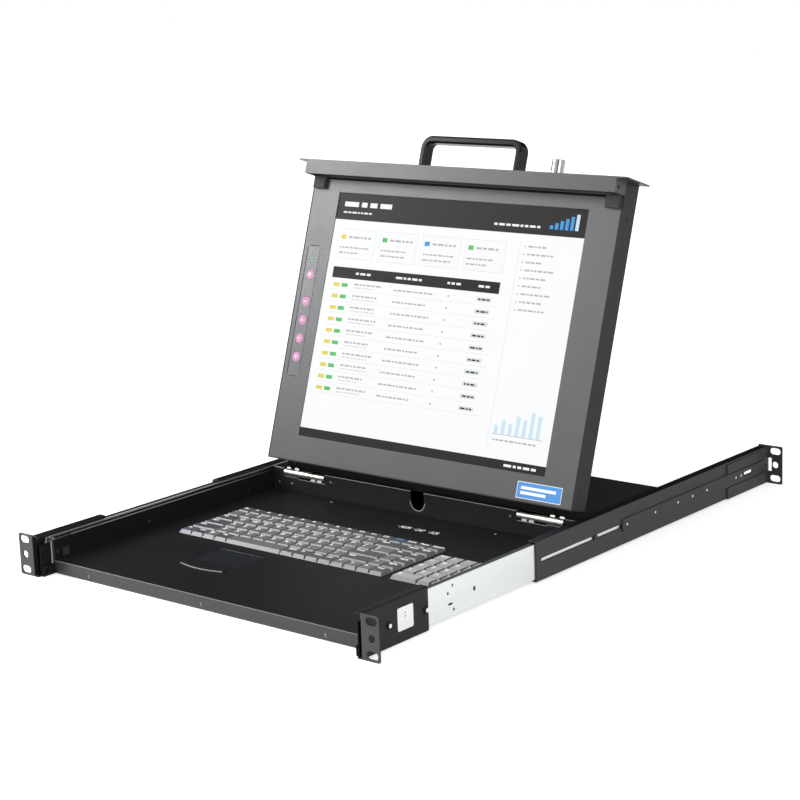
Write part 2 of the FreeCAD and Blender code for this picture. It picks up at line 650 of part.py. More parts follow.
def slide_inner():
    """Inner rail fixed to the tray wall, with the hooked front end."""
    face = TRAY_HALF_WIDTH
    top = INNER_HALF_HEIGHT
    web = face + SLIDE_SHEET
    reach = face + INNER_REACH
    outline = [(face, -top), (face, top), (reach, top), (reach, top - SLIDE_SHEET),
               (web, top - SLIDE_SHEET), (web, -top + SLIDE_SHEET), (reach, -top + SLIDE_SHEET),
               (reach, -top)]
    rail = extrude_y(outline, SLIDE_FRONT, SLIDE_FRONT + INNER_LENGTH)
    neck = block(face, web, SLIDE_FRONT, INNER_HOOK_END, top, INNER_HOOK_TOP)
    hook = block(face, web, INNER_HOOK_START, INNER_HOOK_END, INNER_HOOK_TOP - SLIDE_SHEET, INNER_HOOK_TOP)
    rail = rail.multiFuse([neck, hook]).removeSplitter()
    tools = [rod(V(face - 1, y, WALL_SCREW_HEIGHT), X_AXIS, SCREW_RADIUS, 4) for y in WALL_SCREWS]
    return rail.cut(Part.makeCompound(tools))


def ball_cage(face, floor, ceiling, ball_line, ball_radius, start, length):
    """Folded retainer with a row of balls above and below."""
    middle = (floor + ceiling) / 2
    strip_top = middle + CAGE_STRIP / 2
    strip_inside = 2 * ball_line - face + CAGE_WEB
    web = block(face - CAGE_WEB, face, start, start + length, -strip_top, strip_top)
    pieces = [web]
    for side in (-1, 1):
        low, high = sorted((side * (middle - CAGE_STRIP / 2), side * strip_top))
        pieces.append(block(strip_inside, face, start, start + length, low, high))
        for index in range(BALLS_PER_ROW):
            y = start + length * (index + 0.5) / BALLS_PER_ROW
            pieces.append(steel_ball(ball_radius, V(ball_line, y, side * middle)))
    return pieces[0].multiFuse(pieces[1:]).removeSplitter()


def outer_cage():
    """Retainer between the outer and middle rails."""
    return ball_cage(OUTER_CAGE_FACE, MIDDLE_HALF_HEIGHT, OUTER_HALF_HEIGHT - SLIDE_SHEET,
                     OUTER_BALL_LINE, OUTER_BALL_RADIUS, OUTER_CAGE_START, OUTER_CAGE_LENGTH)


def inner_cage():
    """Retainer between the middle and inner rails."""
    return ball_cage(INNER_CAGE_FACE, INNER_HALF_HEIGHT, MIDDLE_HALF_HEIGHT - SLIDE_SHEET,
                     INNER_BALL_LINE, INNER_BALL_RADIUS, INNER_CAGE_START, INNER_CAGE_LENGTH)


# ---- Drawer --------------------------------------------------------------------------
def corner_guard():
    """U-shaped fold ahead of the tray wall that covers the end of the slide."""
    inside = TRAY_HALF_WIDTH - TRAY_SHEET
    outside = GUARD_INSIDE + GUARD_SHEET
    tab = block(inside, TRAY_HALF_WIDTH, GUARD_FRONT, LIP_FACE + TRAY_SHEET, TRAY_BOTTOM, GUARD_TAB_TOP)
    tab = soften(tab, 1.5, "x", [(GUARD_FRONT, GUARD_TAB_TOP)])
    fold = block(inside, outside, GUARD_FRONT, GUARD_BACK, TRAY_BOTTOM, TRAY_BOTTOM + TRAY_SHEET)
    leg = block(GUARD_INSIDE, outside, GUARD_FRONT, GUARD_BACK, TRAY_BOTTOM, GUARD_TOP)
    guard = tab.multiFuse([fold, leg]).removeSplitter()
    guard = soften(guard, 1.2, "y", [(outside, TRAY_BOTTOM)])
    return guard.cut(rod(V(inside - 1, CATCH_Y, CATCH_Z), X_AXIS, CATCH_HOLE_RADIUS, 3))


def tray_wall():
    """Right-hand tray wall with its screw holes and latch window."""
    inside = TRAY_HALF_WIDTH - TRAY_SHEET
    front = LIP_FACE + TRAY_SHEET
    wall = block(inside, TRAY_HALF_WIDTH, front, TRAY_BACK, TRAY_BOTTOM, TRAY_WALL_TOP)
    rear = block(inside, TRAY_HALF_WIDTH, STEP_FACE, TRAY_BACK, TRAY_BOTTOM, TRAY_REAR_TOP)
    wall = wall.fuse(rear).removeSplitter()
    tools = [rod(V(inside - 1, y, WALL_SCREW_HEIGHT), X_AXIS, SCREW_RADIUS, 3) for y in WALL_SCREWS]
    y0, y1, z0, z1 = WALL_WINDOW
    tools.append(block(inside - 1, TRAY_HALF_WIDTH + 1, y0, y1, z0, z1))
    return wall.cut(Part.makeCompound(tools))


def tray_pan():
    """Folded tray: floor, walls, front and back, and the corner guards."""
    inside = TRAY_HALF_WIDTH - TRAY_SHEET
    front = LIP_FACE + TRAY_SHEET
    floor = block(-inside, inside, front, TRAY_BACK, TRAY_BOTTOM, TRAY_BOTTOM + TRAY_SHEET)
    nose = block(-inside, inside, front, front + TRAY_SHEET, TRAY_BOTTOM, DECK_TOP - TRAY_SHEET)
    tail = block(-inside, inside, TRAY_BACK - TRAY_SHEET, TRAY_BACK, TRAY_BOTTOM, COVER_TOP - TRAY_SHEET)
    sides = [tray_wall(), corner_guard()]
    sides += [mirrored(piece) for piece in sides]
    pan = floor.multiFuse([nose, tail] + sides).removeSplitter()
    y = TRAY_BACK - 2
    tools = []
    for x, width, height in ((INLET_X, INLET_WIDTH, INLET_HEIGHT), (VIDEO_X, VIDEO_WIDTH, VIDEO_HEIGHT),
                             (USB_X, USB_WIDTH, USB_HEIGHT)):
        tools.append(block(x - width / 2, x + width / 2, y, y + 4,
                           SOCKET_Z - height / 2, SOCKET_Z + height / 2))
    return pan.cut(Part.makeCompound(tools))


def row_starts():
    """Front edge and depth of each keyboard row, front to back."""
    rows = []
    for index in range(len(MAIN_ROWS)):
        depth = FUNCTION_ROW if index == len(MAIN_ROWS) - 1 else PITCH
        rows.append((KEYS_FRONT + index * PITCH, depth))
    return rows


def key_wells():
    """Openings for the main keys and the number keys: x0, x1, y0, y1."""
    last_start, last_depth = row_starts()[-1]
    wide = sum(MAIN_ROWS[0]) * PITCH
    edge = KEY_WELL_EDGE
    main = (KEYS_LEFT - edge, KEYS_LEFT + wide + edge, KEYS_FRONT - edge, last_start + last_depth + edge)
    pad_width = sum(NUMPAD_ROWS[0]) * NUMPAD_PITCH
    pad = (NUMPAD_LEFT - edge, NUMPAD_LEFT + pad_width + edge, KEYS_FRONT - edge,
           KEYS_FRONT + len(NUMPAD_ROWS) * NUMPAD_PITCH + edge)
    return main, pad


def touch_button_arc(gap):
    """Arched strip of both touchpad buttons, grown by a gap."""
    middle = PAD_LEFT + PAD_WIDTH / 2
    base = DECK_TOP - BUTTON_DEPTH - 2
    centre = V(middle, BUTTON_ARC_FRONT + BUTTON_ARC_RADIUS, base)
    ring = rod(centre, Z_AXIS, BUTTON_ARC_RADIUS + gap, 8)
    ring = ring.cut(rod(centre, Z_AXIS, BUTTON_ARC_RADIUS - BUTTON_ARC_WIDTH - gap, 8))
    band = block(middle - BUTTON_HALF_WIDTH - gap, middle + BUTTON_HALF_WIDTH + gap,
                 BUTTON_ARC_FRONT - 2, centre.y, base, base + 8)
    return ring.common(band)


def deck_plate():
    """Deck sheet with its folded front lip and the openings for keys and touchpad."""
    half = TRAY_HALF_WIDTH - TRAY_SHEET - FIT_GAP
    under = DECK_TOP - TRAY_SHEET
    front = LIP_FACE
    back = STEP_FACE + STEP_LAP
    outline = [V(0, front, TRAY_BOTTOM), V(0, front, DECK_TOP), V(0, back, DECK_TOP),
               V(0, back, under), V(0, front + TRAY_SHEET, under),
               V(0, front + TRAY_SHEET, TRAY_BOTTOM), V(0, front, TRAY_BOTTOM)]
    deck = Part.Face(Part.makePolygon(outline)).extrude(V(2 * half, 0, 0))
    deck.translate(V(-half, 0, 0))
    deck = soften(deck, TRAY_SHEET * 0.9, "x", [(front, DECK_TOP)])
    tools = [block(x0, x1, y0, y1, under - 1, DECK_TOP + 1) for x0, x1, y0, y1 in key_wells()]
    tools.append(block(PAD_LEFT, PAD_LEFT + PAD_WIDTH, PAD_FRONT, PAD_FRONT + PAD_DEPTH,
                       under - 1, DECK_TOP + 1))
    tools.append(touch_button_arc(SIDE_GAP))
    for x in LAMP_X:
        tools.append(rod(V(x, LAMP_Y, under - 1), Z_AXIS, LAMP_RADIUS, 4))
    return deck.cut(Part.makeCompound(tools))


def hinge_recess(side):
    """Cut through the step wall and cover for one hinge."""
    inner = HINGE_INSIDE - RECESS_GAP_INSIDE
    outer = HINGE_OUTSIDE + RECESS_GAP_OUTSIDE
    tools = []
    for x0, x1, floor in ((inner, RECESS_SPLIT, RECESS_DEEP), (RECESS_SPLIT, outer, RECESS_SHALLOW)):
        tools.append(block(x0, x1, STEP_FACE - 1, RECESS_BACK, floor, COVER_TOP + 1))
    cut = tools[0].fuse(tools[1])
    return cut if side > 0 else mirrored(cut)


def rear_cover():
    """Raised rear housing: step wall, top, side and back folds."""
    half = TRAY_HALF_WIDTH - TRAY_SHEET - FIT_GAP
    sheet = TRAY_SHEET
    back = TRAY_BACK - sheet
    top = block(-half, half, STEP_FACE, TRAY_BACK, COVER_TOP - sheet, COVER_TOP)
    step = block(-half, half, STEP_FACE, STEP_FACE + sheet, DECK_TOP, COVER_TOP)
    side = block(half - sheet, half, STEP_FACE, back, COVER_SIDE_BOTTOM, COVER_TOP)
    fold = block(-half, half, back - sheet, back, COVER_TOP - COVER_FOLD, COVER_TOP)
    cover = top.multiFuse([step, side, mirrored(side), fold]).removeSplitter()
    cover = soften(cover, sheet * 0.9, "x", [(STEP_FACE, COVER_TOP)])
    centre = V(0, STEP_FACE, NOTCH_BOTTOM + NOTCH_HALF_WIDTH)
    notch = rod(centre - Y_AXIS, Y_AXIS, NOTCH_HALF_WIDTH, NOTCH_DEPTH + 1)
    mouth = block(-NOTCH_HALF_WIDTH, NOTCH_HALF_WIDTH, STEP_FACE - 1, STEP_FACE + NOTCH_DEPTH,
                  centre.z, COVER_TOP + 1)
    return cover.cut(Part.makeCompound([hinge_recess(1), hinge_recess(-1), notch.fuse(mouth)]))


def keyboard_chassis():
    """Key carrier plate with a rim that meets the underside of the deck."""
    main, pad = key_wells()
    x0, x1 = main[0] - CHASSIS_RIM, pad[1] + CHASSIS_RIM
    y0, y1 = main[2] - CHASSIS_RIM, main[3] + CHASSIS_RIM
    under = DECK_TOP - TRAY_SHEET
    plate = block(x0, x1, y0, y1, CHASSIS_TOP - CHASSIS_THICKNESS, under)
    tools = [block(a, b, c, d, CHASSIS_TOP, under + 1) for a, b, c, d in (main, pad)]
    floor = TRAY_BOTTOM + TRAY_SHEET
    height = CHASSIS_TOP - CHASSIS_THICKNESS - floor
    feet = []
    for x in (x0 + CHASSIS_FOOT_INSET_X, (x0 + x1) / 2, x1 - CHASSIS_FOOT_INSET_X):
        for y in (y0 + CHASSIS_FOOT_INSET_Y, y1 - CHASSIS_FOOT_INSET_Y):
            feet.append(rod(V(x, y, floor), Z_AXIS, CHASSIS_FOOT_RADIUS, height))
    return plate.cut(Part.makeCompound(tools)).multiFuse(feet).removeSplitter()


def keycap(x, y, width, depth):
    """One key: a block that narrows towards its top."""
    height = KEY_TOP - KEY_BOTTOM
    wide = width - KEY_GAP
    deep = depth - KEY_GAP
    key = Part.makeWedge(0, 0, -deep, -(deep - KEY_BACK_SLOPE), KEY_SIDE_SLOPE,
                         wide, height, 0, -KEY_FRONT_SLOPE, wide - KEY_SIDE_SLOPE)
    key.rotate(V(0, 0, 0), X_AXIS, 90)
    key.translate(V(x + KEY_GAP / 2, y + KEY_GAP / 2, KEY_BOTTOM))
    return key


def key_row(widths, unit, left, front, depth):
    """A row of keys laid out from their widths in key units."""
    keys = []
    x = left
    for units in widths:
        keys.append(keycap(x, front, units * unit, depth))
        x += units * unit
    return keys


def touchpad():
    """Touch surface and the board under it that also carries the two buttons."""
    top = DECK_TOP - PAD_RECESS
    pad = block(PAD_LEFT, PAD_LEFT + PAD_WIDTH, PAD_FRONT, PAD_FRONT + PAD_DEPTH, top - PAD_THICKNESS, top)
    right = PAD_LEFT + PAD_WIDTH
    back = PAD_FRONT + PAD_DEPTH
    board_top = DECK_TOP - BUTTON_DEPTH - PAD_BOARD_DROP
    board_bottom = board_top - PAD_BOARD_THICKNESS
    inset = PAD_PROP_INSET
    base = block(PAD_LEFT, right, BUTTON_ARC_FRONT - 1, back, board_bottom, board_top)
    prop = block(PAD_LEFT + inset, right - inset, PAD_FRONT + inset, back - inset,
                 board_top, top - PAD_THICKNESS)
    foot = block(PAD_LEFT + PAD_FOOT_INSET, right - PAD_FOOT_INSET, PAD_FRONT, PAD_FRONT + PAD_FOOT_DEPTH,
                 TRAY_BOTTOM + TRAY_SHEET, board_bottom)
    return pad.multiFuse([base, prop, foot]).removeSplitter()


def touch_button(side):
    """One of the two arched buttons in front of the touchpad."""
    middle = PAD_LEFT + PAD_WIDTH / 2
    near = middle + side * BUTTON_SPLIT / 2
    far = middle + side * (BUTTON_HALF_WIDTH + 1)
    x0, x1 = sorted((near, far))
    half = block(x0, x1, BUTTON_ARC_FRONT - 3, BUTTON_ARC_FRONT + BUTTON_ARC_RADIUS,
                 DECK_TOP - BUTTON_DEPTH, DECK_TOP + BUTTON_PROUD)
    return touch_button_arc(0).common(half)


def main_board():
    """Console switch board and power supply block in the rear housing."""
    floor = TRAY_BOTTOM + TRAY_SHEET
    top = BOARD_Z + BOARD_THICKNESS
    board = block(BOARD_LEFT, BOARD_LEFT + BOARD_WIDTH, BOARD_START, BOARD_START + BOARD_DEPTH, BOARD_Z, top)
    pieces = []
    for across, along, width, depth, height in BOARD_CHIPS:
        x, y = BOARD_LEFT + across, BOARD_START + along
        pieces.append(block(x, x + width, y, y + depth, top, top + height))
    inset = BOARD_POST_INSET
    for x in (BOARD_LEFT + inset, BOARD_LEFT + BOARD_WIDTH - inset):
        for y in (BOARD_START + inset, BOARD_START + BOARD_DEPTH - inset):
            pieces.append(rod(V(x, y, floor), Z_AXIS, BOARD_POST_RADIUS, BOARD_Z - floor))
    left = SUPPLY_MARGIN - TRAY_HALF_WIDTH
    supply = block(left, left + SUPPLY_WIDTH, SUPPLY_START, SUPPLY_START + SUPPLY_DEPTH, floor, SUPPLY_TOP)
    return Part.makeCompound([board.multiFuse(pieces).removeSplitter(), supply])


def centred_block(x, z, width, height, y0, y1):
    """Box along Y whose section is centred on x and z."""
    return block(x - width / 2, x + width / 2, y0, y1, z - height / 2, z + height / 2)


def mains_inlet():
    """Mains inlet with its rim, socket and contact block."""
    face = TRAY_BACK
    body = centred_block(INLET_X, SOCKET_Z, INLET_WIDTH, INLET_HEIGHT, face - TRAY_SHEET - INLET_DEPTH, face)
    rim = centred_block(INLET_X, SOCKET_Z, INLET_WIDTH + 2 * INLET_RIM, INLET_HEIGHT + 2 * INLET_RIM,
                        face, face + INLET_RIM)
    floor = face - INLET_DEPTH + INLET_FLOOR
    hollow = centred_block(INLET_X, SOCKET_Z, INLET_WIDTH - 2 * SOCKET_WALL, INLET_HEIGHT - 4 * SOCKET_WALL,
                           floor, face + 2 * INLET_RIM)
    contacts = centred_block(INLET_X, SOCKET_Z, PIN_BLOCK[0], PIN_BLOCK[1], floor, face - INLET_RIM)
    return body.fuse(rim).cut(hollow).fuse(contacts).removeSplitter()


def rear_sockets():
    """Mains inlet, video socket and keyboard/mouse socket in the back wall."""
    wall = TRAY_BACK - TRAY_SHEET
    face = TRAY_BACK
    z = SOCKET_Z
    video = centred_block(VIDEO_X, z, VIDEO_WIDTH, VIDEO_HEIGHT, wall - VIDEO_DEPTH, face + VIDEO_PROUD)
    nuts = []
    for side in (-1, 1):
        spot = V(VIDEO_X + side * VIDEO_NUT_OFFSET, face, z)
        nuts.append(rod(spot, Y_AXIS, VIDEO_NUT_RADIUS, VIDEO_NUT_HEIGHT))
    usb = centred_block(USB_X, z, USB_WIDTH, USB_HEIGHT, wall - USB_DEPTH, face + USB_PROUD)
    floor = face - USB_DEPTH + 2 * SOCKET_WALL
    usb = usb.cut(centred_block(USB_X, z, USB_WIDTH - 2 * SOCKET_WALL, USB_HEIGHT - 2 * SOCKET_WALL,
                                floor, face + 2))
    usb = usb.fuse(centred_block(USB_X, z, USB_TONGUE[0], USB_TONGUE[1], floor, face))
    return Part.makeCompound([mains_inlet(), video, usb] + nuts)


def indicator_lamps():
    """Three small lamps behind the keyboard."""
    bottom = DECK_TOP + LAMP_PROUD - LAMP_LENGTH
    return Part.makeCompound([rod(V(x, LAMP_Y, bottom), Z_AXIS, LAMP_RADIUS, LAMP_LENGTH) for x in LAMP_X])


def tray_screws():
    """Small screws of the step wall, deck, lip and slide fixings."""
    heads = []
    for side in (-1, 1):
        for x, z in STEP_SCREWS:
            heads.append(screw_head(V(side * x, STEP_FACE, z), -Y_AXIS, SMALL_SCREW_RADIUS, SMALL_SCREW_HEIGHT))
        heads.append(screw_head(V(side * DECK_SCREW_X, DECK_SCREW_Y, DECK_TOP), Z_AXIS,
                          SMALL_SCREW_RADIUS, SMALL_SCREW_HEIGHT))
        for y in WALL_SCREWS:
            start = V(side * (TRAY_HALF_WIDTH - TRAY_SHEET), y, WALL_SCREW_HEIGHT)
            heads.append(rod(start, X_AXIS * side, SCREW_RADIUS, TRAY_SHEET + SLIDE_SHEET))
    for x in LIP_SCREWS:
        heads.append(screw_head(V(x, LIP_FACE, LIP_SCREW_Z), -Y_AXIS, SMALL_SCREW_RADIUS, SMALL_SCREW_HEIGHT))
    return Part.makeCompound(heads)


def hinge_base():
    """Fixed half of a friction hinge: leaf on the step wall, knuckle and pin."""
    y0 = STEP_FACE + TRAY_SHEET
    y1 = y0 + HINGE_SHEET
    start = HINGE_INSIDE - BASE_LAP
    axis = V(HINGE_INSIDE, HINGE_Y, HINGE_Z)
    knuckle = rod(axis, X_AXIS, KNUCKLE_RADIUS, KNUCKLE_LENGTH)
    pin = rod(axis, X_AXIS, PIN_RADIUS, HINGE_LENGTH)
    low = RECESS_DEEP - BASE_GAP
    leaf = block(start, RECESS_SPLIT, y0, y1, BASE_BOTTOM, low)
    ear = block(start, HINGE_INSIDE - RECESS_GAP_INSIDE - KNUCKLE_GAP, y0, y1, BASE_BOTTOM, BASE_TOP)
    neck = block(HINGE_INSIDE, KNUCKLE_SPLIT, y0, y1, low - 0.1, HINGE_Z)
    return leaf.multiFuse([ear, neck, knuckle, pin]).removeSplitter()


# ---- Lid, drawn shut -----------------------------------------------------------------
def lcd_housing():
    """Rear shell of the lid, a folded pan with the hinge slots and cable hole."""
    sheet = LID_SHEET
    half = LID_HALF_WIDTH
    front = PLATE_FACE + PLATE_SHEET
    shell = block(-half, half, front, LID_END, LID_FACE, LID_TOP)
    shell = soften(shell, LID_EDGE, "y", [(half, LID_TOP), (-half, LID_TOP)])
    shell = soften(shell, LID_EDGE, "x", [(LID_END, LID_TOP)])
    hollow = block(-half + sheet, half - sheet, front + sheet, LID_END - sheet, LID_FACE - 1, LID_TOP - sheet)
    tools = []
    for side in (-1, 1):
        for arm in HINGE_ARMS:
            gap = HINGE_SLOT_GAP
            a, b = sorted((side * (arm - gap), side * (arm + HINGE_ARM_WIDTH + gap)))
            tall = HINGE_SHEET / 2 + gap
            tools.append(block(a, b, LID_END - 2, LID_END + 1, HINGE_Z - tall, HINGE_Z + tall))
        for y, z in LID_SCREWS:
            tools.append(rod(V(side * (half - 2), y, z), X_AXIS * side, LID_SCREW_RADIUS, 4))
    cable = V(0, LID_END, CABLE_HOLE_Z)
    tools.append(slot(cable, X_AXIS, Z_AXIS, Y_AXIS, CABLE_HOLE_LENGTH, CABLE_HOLE_HEIGHT, 2))
    knob = rod(V(KNOB_X, front - 1, HANDLE_Z), Y_AXIS, KNOB_SHAFT + SIDE_GAP, 4)
    return shell.cut(hollow).cut(Part.makeCompound(tools + [knob]))


def lcd_bezel():
    """Front frame around the screen with the control-strip opening."""
    front = PLATE_FACE + PLATE_SHEET + LID_SHEET
    half = BEZEL_HALF_WIDTH
    frame = block(-half, half, front + BEZEL_GAP, LID_END - LID_SHEET - BEZEL_GAP,
                  LID_FACE, LID_FACE + LID_SHEET)
    wide = SCREEN_WIDTH / 2
    opening = block(-wide, wide, SCREEN_NEAR - SCREEN_HEIGHT, SCREEN_NEAR, LID_FACE - 1, LID_FACE + 3)
    strip = osd_outline(0, LID_FACE - 1, LID_FACE + 3)
    return frame.cut(Part.makeCompound([opening, strip]))


def osd_outline(inset, z0, z1):
    """Control strip outline with rounded ends."""
    x0, x1 = OSD_LEFT + inset, OSD_LEFT + OSD_WIDTH - inset
    y0, y1 = OSD_START + inset, OSD_END - inset
    plate = block(x0, x1, y0, y1, z0, z1)
    return soften(plate, OSD_CORNER, "z", [(x0, y0), (x1, y0), (x0, y1), (x1, y1)])


def osd_strip():
    """Control strip plate that guides the five round keys."""
    low = LID_FACE + OSD_RECESS
    plate = osd_outline(0, low, low + OSD_SHEET)
    tools = []
    for y in OSD_KEY_STATIONS:
        tools.append(rod(V(OSD_KEY_X, y, low - 1), Z_AXIS, OSD_KEY_RADIUS + OSD_CLEARANCE, 4))
    tools.append(rod(V(OSD_KEY_X, LED_STATION, low - 1), Z_AXIS, LED_RADIUS, 4))
    return plate.cut(Part.makeCompound(tools))


def osd_key(y):
    """Round control key with the flange that keeps it behind the strip."""
    face = LID_FACE - OSD_KEY_PROUD
    back = LID_FACE + OSD_RECESS + OSD_SHEET
    cap = rod(V(OSD_KEY_X, y, face), Z_AXIS, OSD_KEY_RADIUS, back + OSD_KEY_TAIL - face)
    rim = [edge for edge in cap.Edges if abs(edge.BoundBox.ZMax - face) < 0.01]
    cap = cap.makeChamfer(OSD_KEY_EDGE, rim)
    flange = rod(V(OSD_KEY_X, y, back + OSD_FLANGE_GAP), Z_AXIS, OSD_KEY_FLANGE, OSD_FLANGE_SHEET)
    return cap.fuse(flange).removeSplitter()


def power_led():
    """Green power lamp at the top of the control strip."""
    return rod(V(OSD_KEY_X, LED_STATION, LID_FACE - LED_PROUD), Z_AXIS, LED_RADIUS, LED_LENGTH)


def lcd_panel():
    """Flat panel module behind the screen opening."""
    wide = SCREEN_WIDTH / 2 + PANEL_EDGE
    z0 = LID_FACE + LID_SHEET + PANEL_RECESS
    return block(-wide, wide, SCREEN_NEAR - SCREEN_HEIGHT - PANEL_EDGE, SCREEN_NEAR + PANEL_EDGE,
                 z0, z0 + PANEL_THICKNESS)


def lcd_board():
    """Display driver board and key board, held off the inside of the housing back."""
    wall = LID_TOP - LID_SHEET
    top = wall - DRIVER_GAP
    low = top - BOARD_THICKNESS
    x0, y0 = DRIVER_LEFT, DRIVER_START
    x1, y1 = x0 + DRIVER_WIDTH, y0 + DRIVER_DEPTH
    inset = DRIVER_POST_INSET
    driver = [block(x0, x1, y0, y1, low, top)]
    for x in (x0 + inset, x1 - inset):
        for y in (y0 + inset, y1 - inset):
            driver.append(rod(V(x, y, top), Z_AXIS, BOARD_POST_RADIUS, DRIVER_GAP))
    for across, along, width, depth in DRIVER_CHIPS:
        x, y = x0 + across, y0 + along
        driver.append(block(x, x + width, y, y + depth, low - DRIVER_CHIP_HEIGHT, low))
    face = CONTROL_BOARD_Z
    back = face + BOARD_THICKNESS
    controls = [block(OSD_LEFT, OSD_LEFT + OSD_WIDTH, OSD_START + CONTROL_BOARD_INSET,
                      OSD_END - CONTROL_BOARD_INSET, face, back)]
    side = CONTROL_POST_WIDTH
    for y in CONTROL_POST_STATIONS:
        controls.append(block(OSD_LEFT + side, OSD_LEFT + 2 * side, y, y + side, back, wall))
    boards = [group[0].multiFuse(group[1:]).removeSplitter() for group in (driver, controls)]
    return Part.makeCompound(boards)


def front_panel():
    """Front plate of the unit with its turned-back flange and end gussets."""
    top = UNIT_HALF_HEIGHT
    inner = PLATE_FACE + PLATE_SHEET
    half = LID_HALF_WIDTH
    sheet = PANEL_FLANGE_SHEET
    plate = block(-PLATE_HALF_WIDTH, PLATE_HALF_WIDTH, PLATE_FACE, inner, -top, top)
    corners = [(s * PLATE_HALF_WIDTH, t * top) for s in (-1, 1) for t in (-1, 1)]
    plate = soften(plate, PLATE_CORNER, "y", corners)
    flange = block(-half, half, inner, PANEL_FLANGE_END, -top, -top + sheet)
    gusset = block(half - sheet, half, inner, PANEL_FLANGE_END, -top, LID_FACE)
    panel = plate.multiFuse([flange, gusset, mirrored(gusset)]).removeSplitter()
    hole = rod(V(KNOB_X, PLATE_FACE - 1, HANDLE_Z), Y_AXIS, KNOB_SHAFT + SIDE_GAP, 4)
    return panel.cut(hole)


def handle():
    """Bow handle of flat bar with bevelled edges."""
    out = HANDLE_HALF_WIDTH
    base = PLATE_FACE
    reach = base - HANDLE_REACH
    low = HANDLE_Z - HANDLE_DEPTH / 2
    bar = HANDLE_BAR
    outer = block(-out, out, reach, base, low, low + HANDLE_DEPTH)
    outer = soften(outer, HANDLE_CORNER, "z", [(-out, reach), (out, reach)])
    inner = block(-out + bar, out - bar, reach + bar, base + 1, low - 1, low + HANDLE_DEPTH + 1)
    inner = soften(inner, HANDLE_CORNER - bar, "z", [(-out + bar, reach + bar), (out - bar, reach + bar)])
    bow = outer.cut(inner)
    rims = []
    for edge in bow.Edges:
        size = edge.BoundBox
        flat = size.ZLength < 0.01 and size.YMin < base - 0.1
        if flat:
            rims.append(edge)
    return bow.makeChamfer(HANDLE_EDGE, rims)


def lock_knob():
    """Round pull knob on its plunger."""
    start = PLATE_FACE - KNOB_LENGTH
    length = KNOB_LENGTH - COLLAR_HEIGHT - KNOB_COLLAR_GAP
    knob = rod(V(KNOB_X, start, HANDLE_Z), Y_AXIS, KNOB_RADIUS, length)
    rim = [edge for edge in knob.Edges if abs(edge.BoundBox.YMax - start) < 0.01]
    knob = knob.makeChamfer(KNOB_EDGE, rim)
    shaft = rod(V(KNOB_X, start + KNOB_SHAFT_START, HANDLE_Z), Y_AXIS, KNOB_SHAFT,
                KNOB_LENGTH - KNOB_SHAFT_START + KNOB_SHAFT_REACH)
    return knob.fuse(shaft).removeSplitter()


def lid_fixings():
    """Knob collar, catch balls and side screws of the lid."""
    collar = rod(V(KNOB_X, PLATE_FACE - COLLAR_HEIGHT, HANDLE_Z), Y_AXIS, COLLAR_RADIUS, COLLAR_HEIGHT)
    bore = rod(V(KNOB_X, PLATE_FACE - COLLAR_HEIGHT - 1, HANDLE_Z), Y_AXIS, KNOB_SHAFT + SIDE_GAP, 6)
    pieces = [collar.cut(bore)]
    for side in (-1, 1):
        ball = screw_head(V(side * LID_HALF_WIDTH, CATCH_Y, CATCH_Z), X_AXIS * side, CATCH_BALL_RADIUS,
                    CATCH_BALL_PROUD)
        pieces.append(ball)
        start = LID_HALF_WIDTH - LID_SCREW_SINK - LID_SCREW_LENGTH
        for y, z in LID_SCREWS:
            pieces.append(rod(V(side * start, y, z), X_AXIS * side, LID_SCREW_RADIUS, LID_SCREW_LENGTH))
    return Part.makeCompound(pieces)


def bumpers():
    """Two rubber pads that rest on the deck when the lid is shut."""
    foot = DECK_TOP + BUMPER_GAP
    outside = BUMPER_INSIDE + BUMPER_WIDTH
    pad = block(BUMPER_INSIDE, outside, BUMPER_START, BUMPER_END, foot, LID_FACE)
    pad = soften(pad, BUMPER_EDGE, "y", [(BUMPER_INSIDE, foot), (outside, foot)])
    return Part.makeCompound([pad, mirrored(pad)])


def badge():
    """Blank blue badge in the corner of the bezel."""
    return block(BADGE_LEFT, BADGE_LEFT + BADGE_WIDTH, BADGE_START, BADGE_START + BADGE_DEPTH,
                 LID_FACE - BADGE_THICKNESS, LID_FACE)


def hinge_leaf():
    """Lid half of a friction hinge: barrel, two arms and the plate inside the lid."""
    start = V(KNUCKLE_SPLIT + KNUCKLE_GAP, HINGE_Y, HINGE_Z)
    barrel = rod(start, X_AXIS, BARREL_RADIUS, HINGE_OUTSIDE - start.x)
    bore = rod(start - X_AXIS, X_AXIS, PIN_RADIUS + PIN_CLEARANCE, HINGE_LENGTH + 2)
    inside = LID_END - LID_SHEET
    half = HINGE_SHEET / 2
    plate = block(LEAF_INSIDE, LEAF_OUTSIDE, inside - HINGE_SHEET, inside, LEAF_BOTTOM, LID_TOP - LID_SHEET)
    arms = []
    for x in HINGE_ARMS:
        arms.append(block(x, x + HINGE_ARM_WIDTH, inside - HINGE_ARM_ROOT, HINGE_Y, HINGE_Z - half,
                          HINGE_Z + half))
    return plate.multiFuse(arms + [barrel]).cut(bore).removeSplitter()


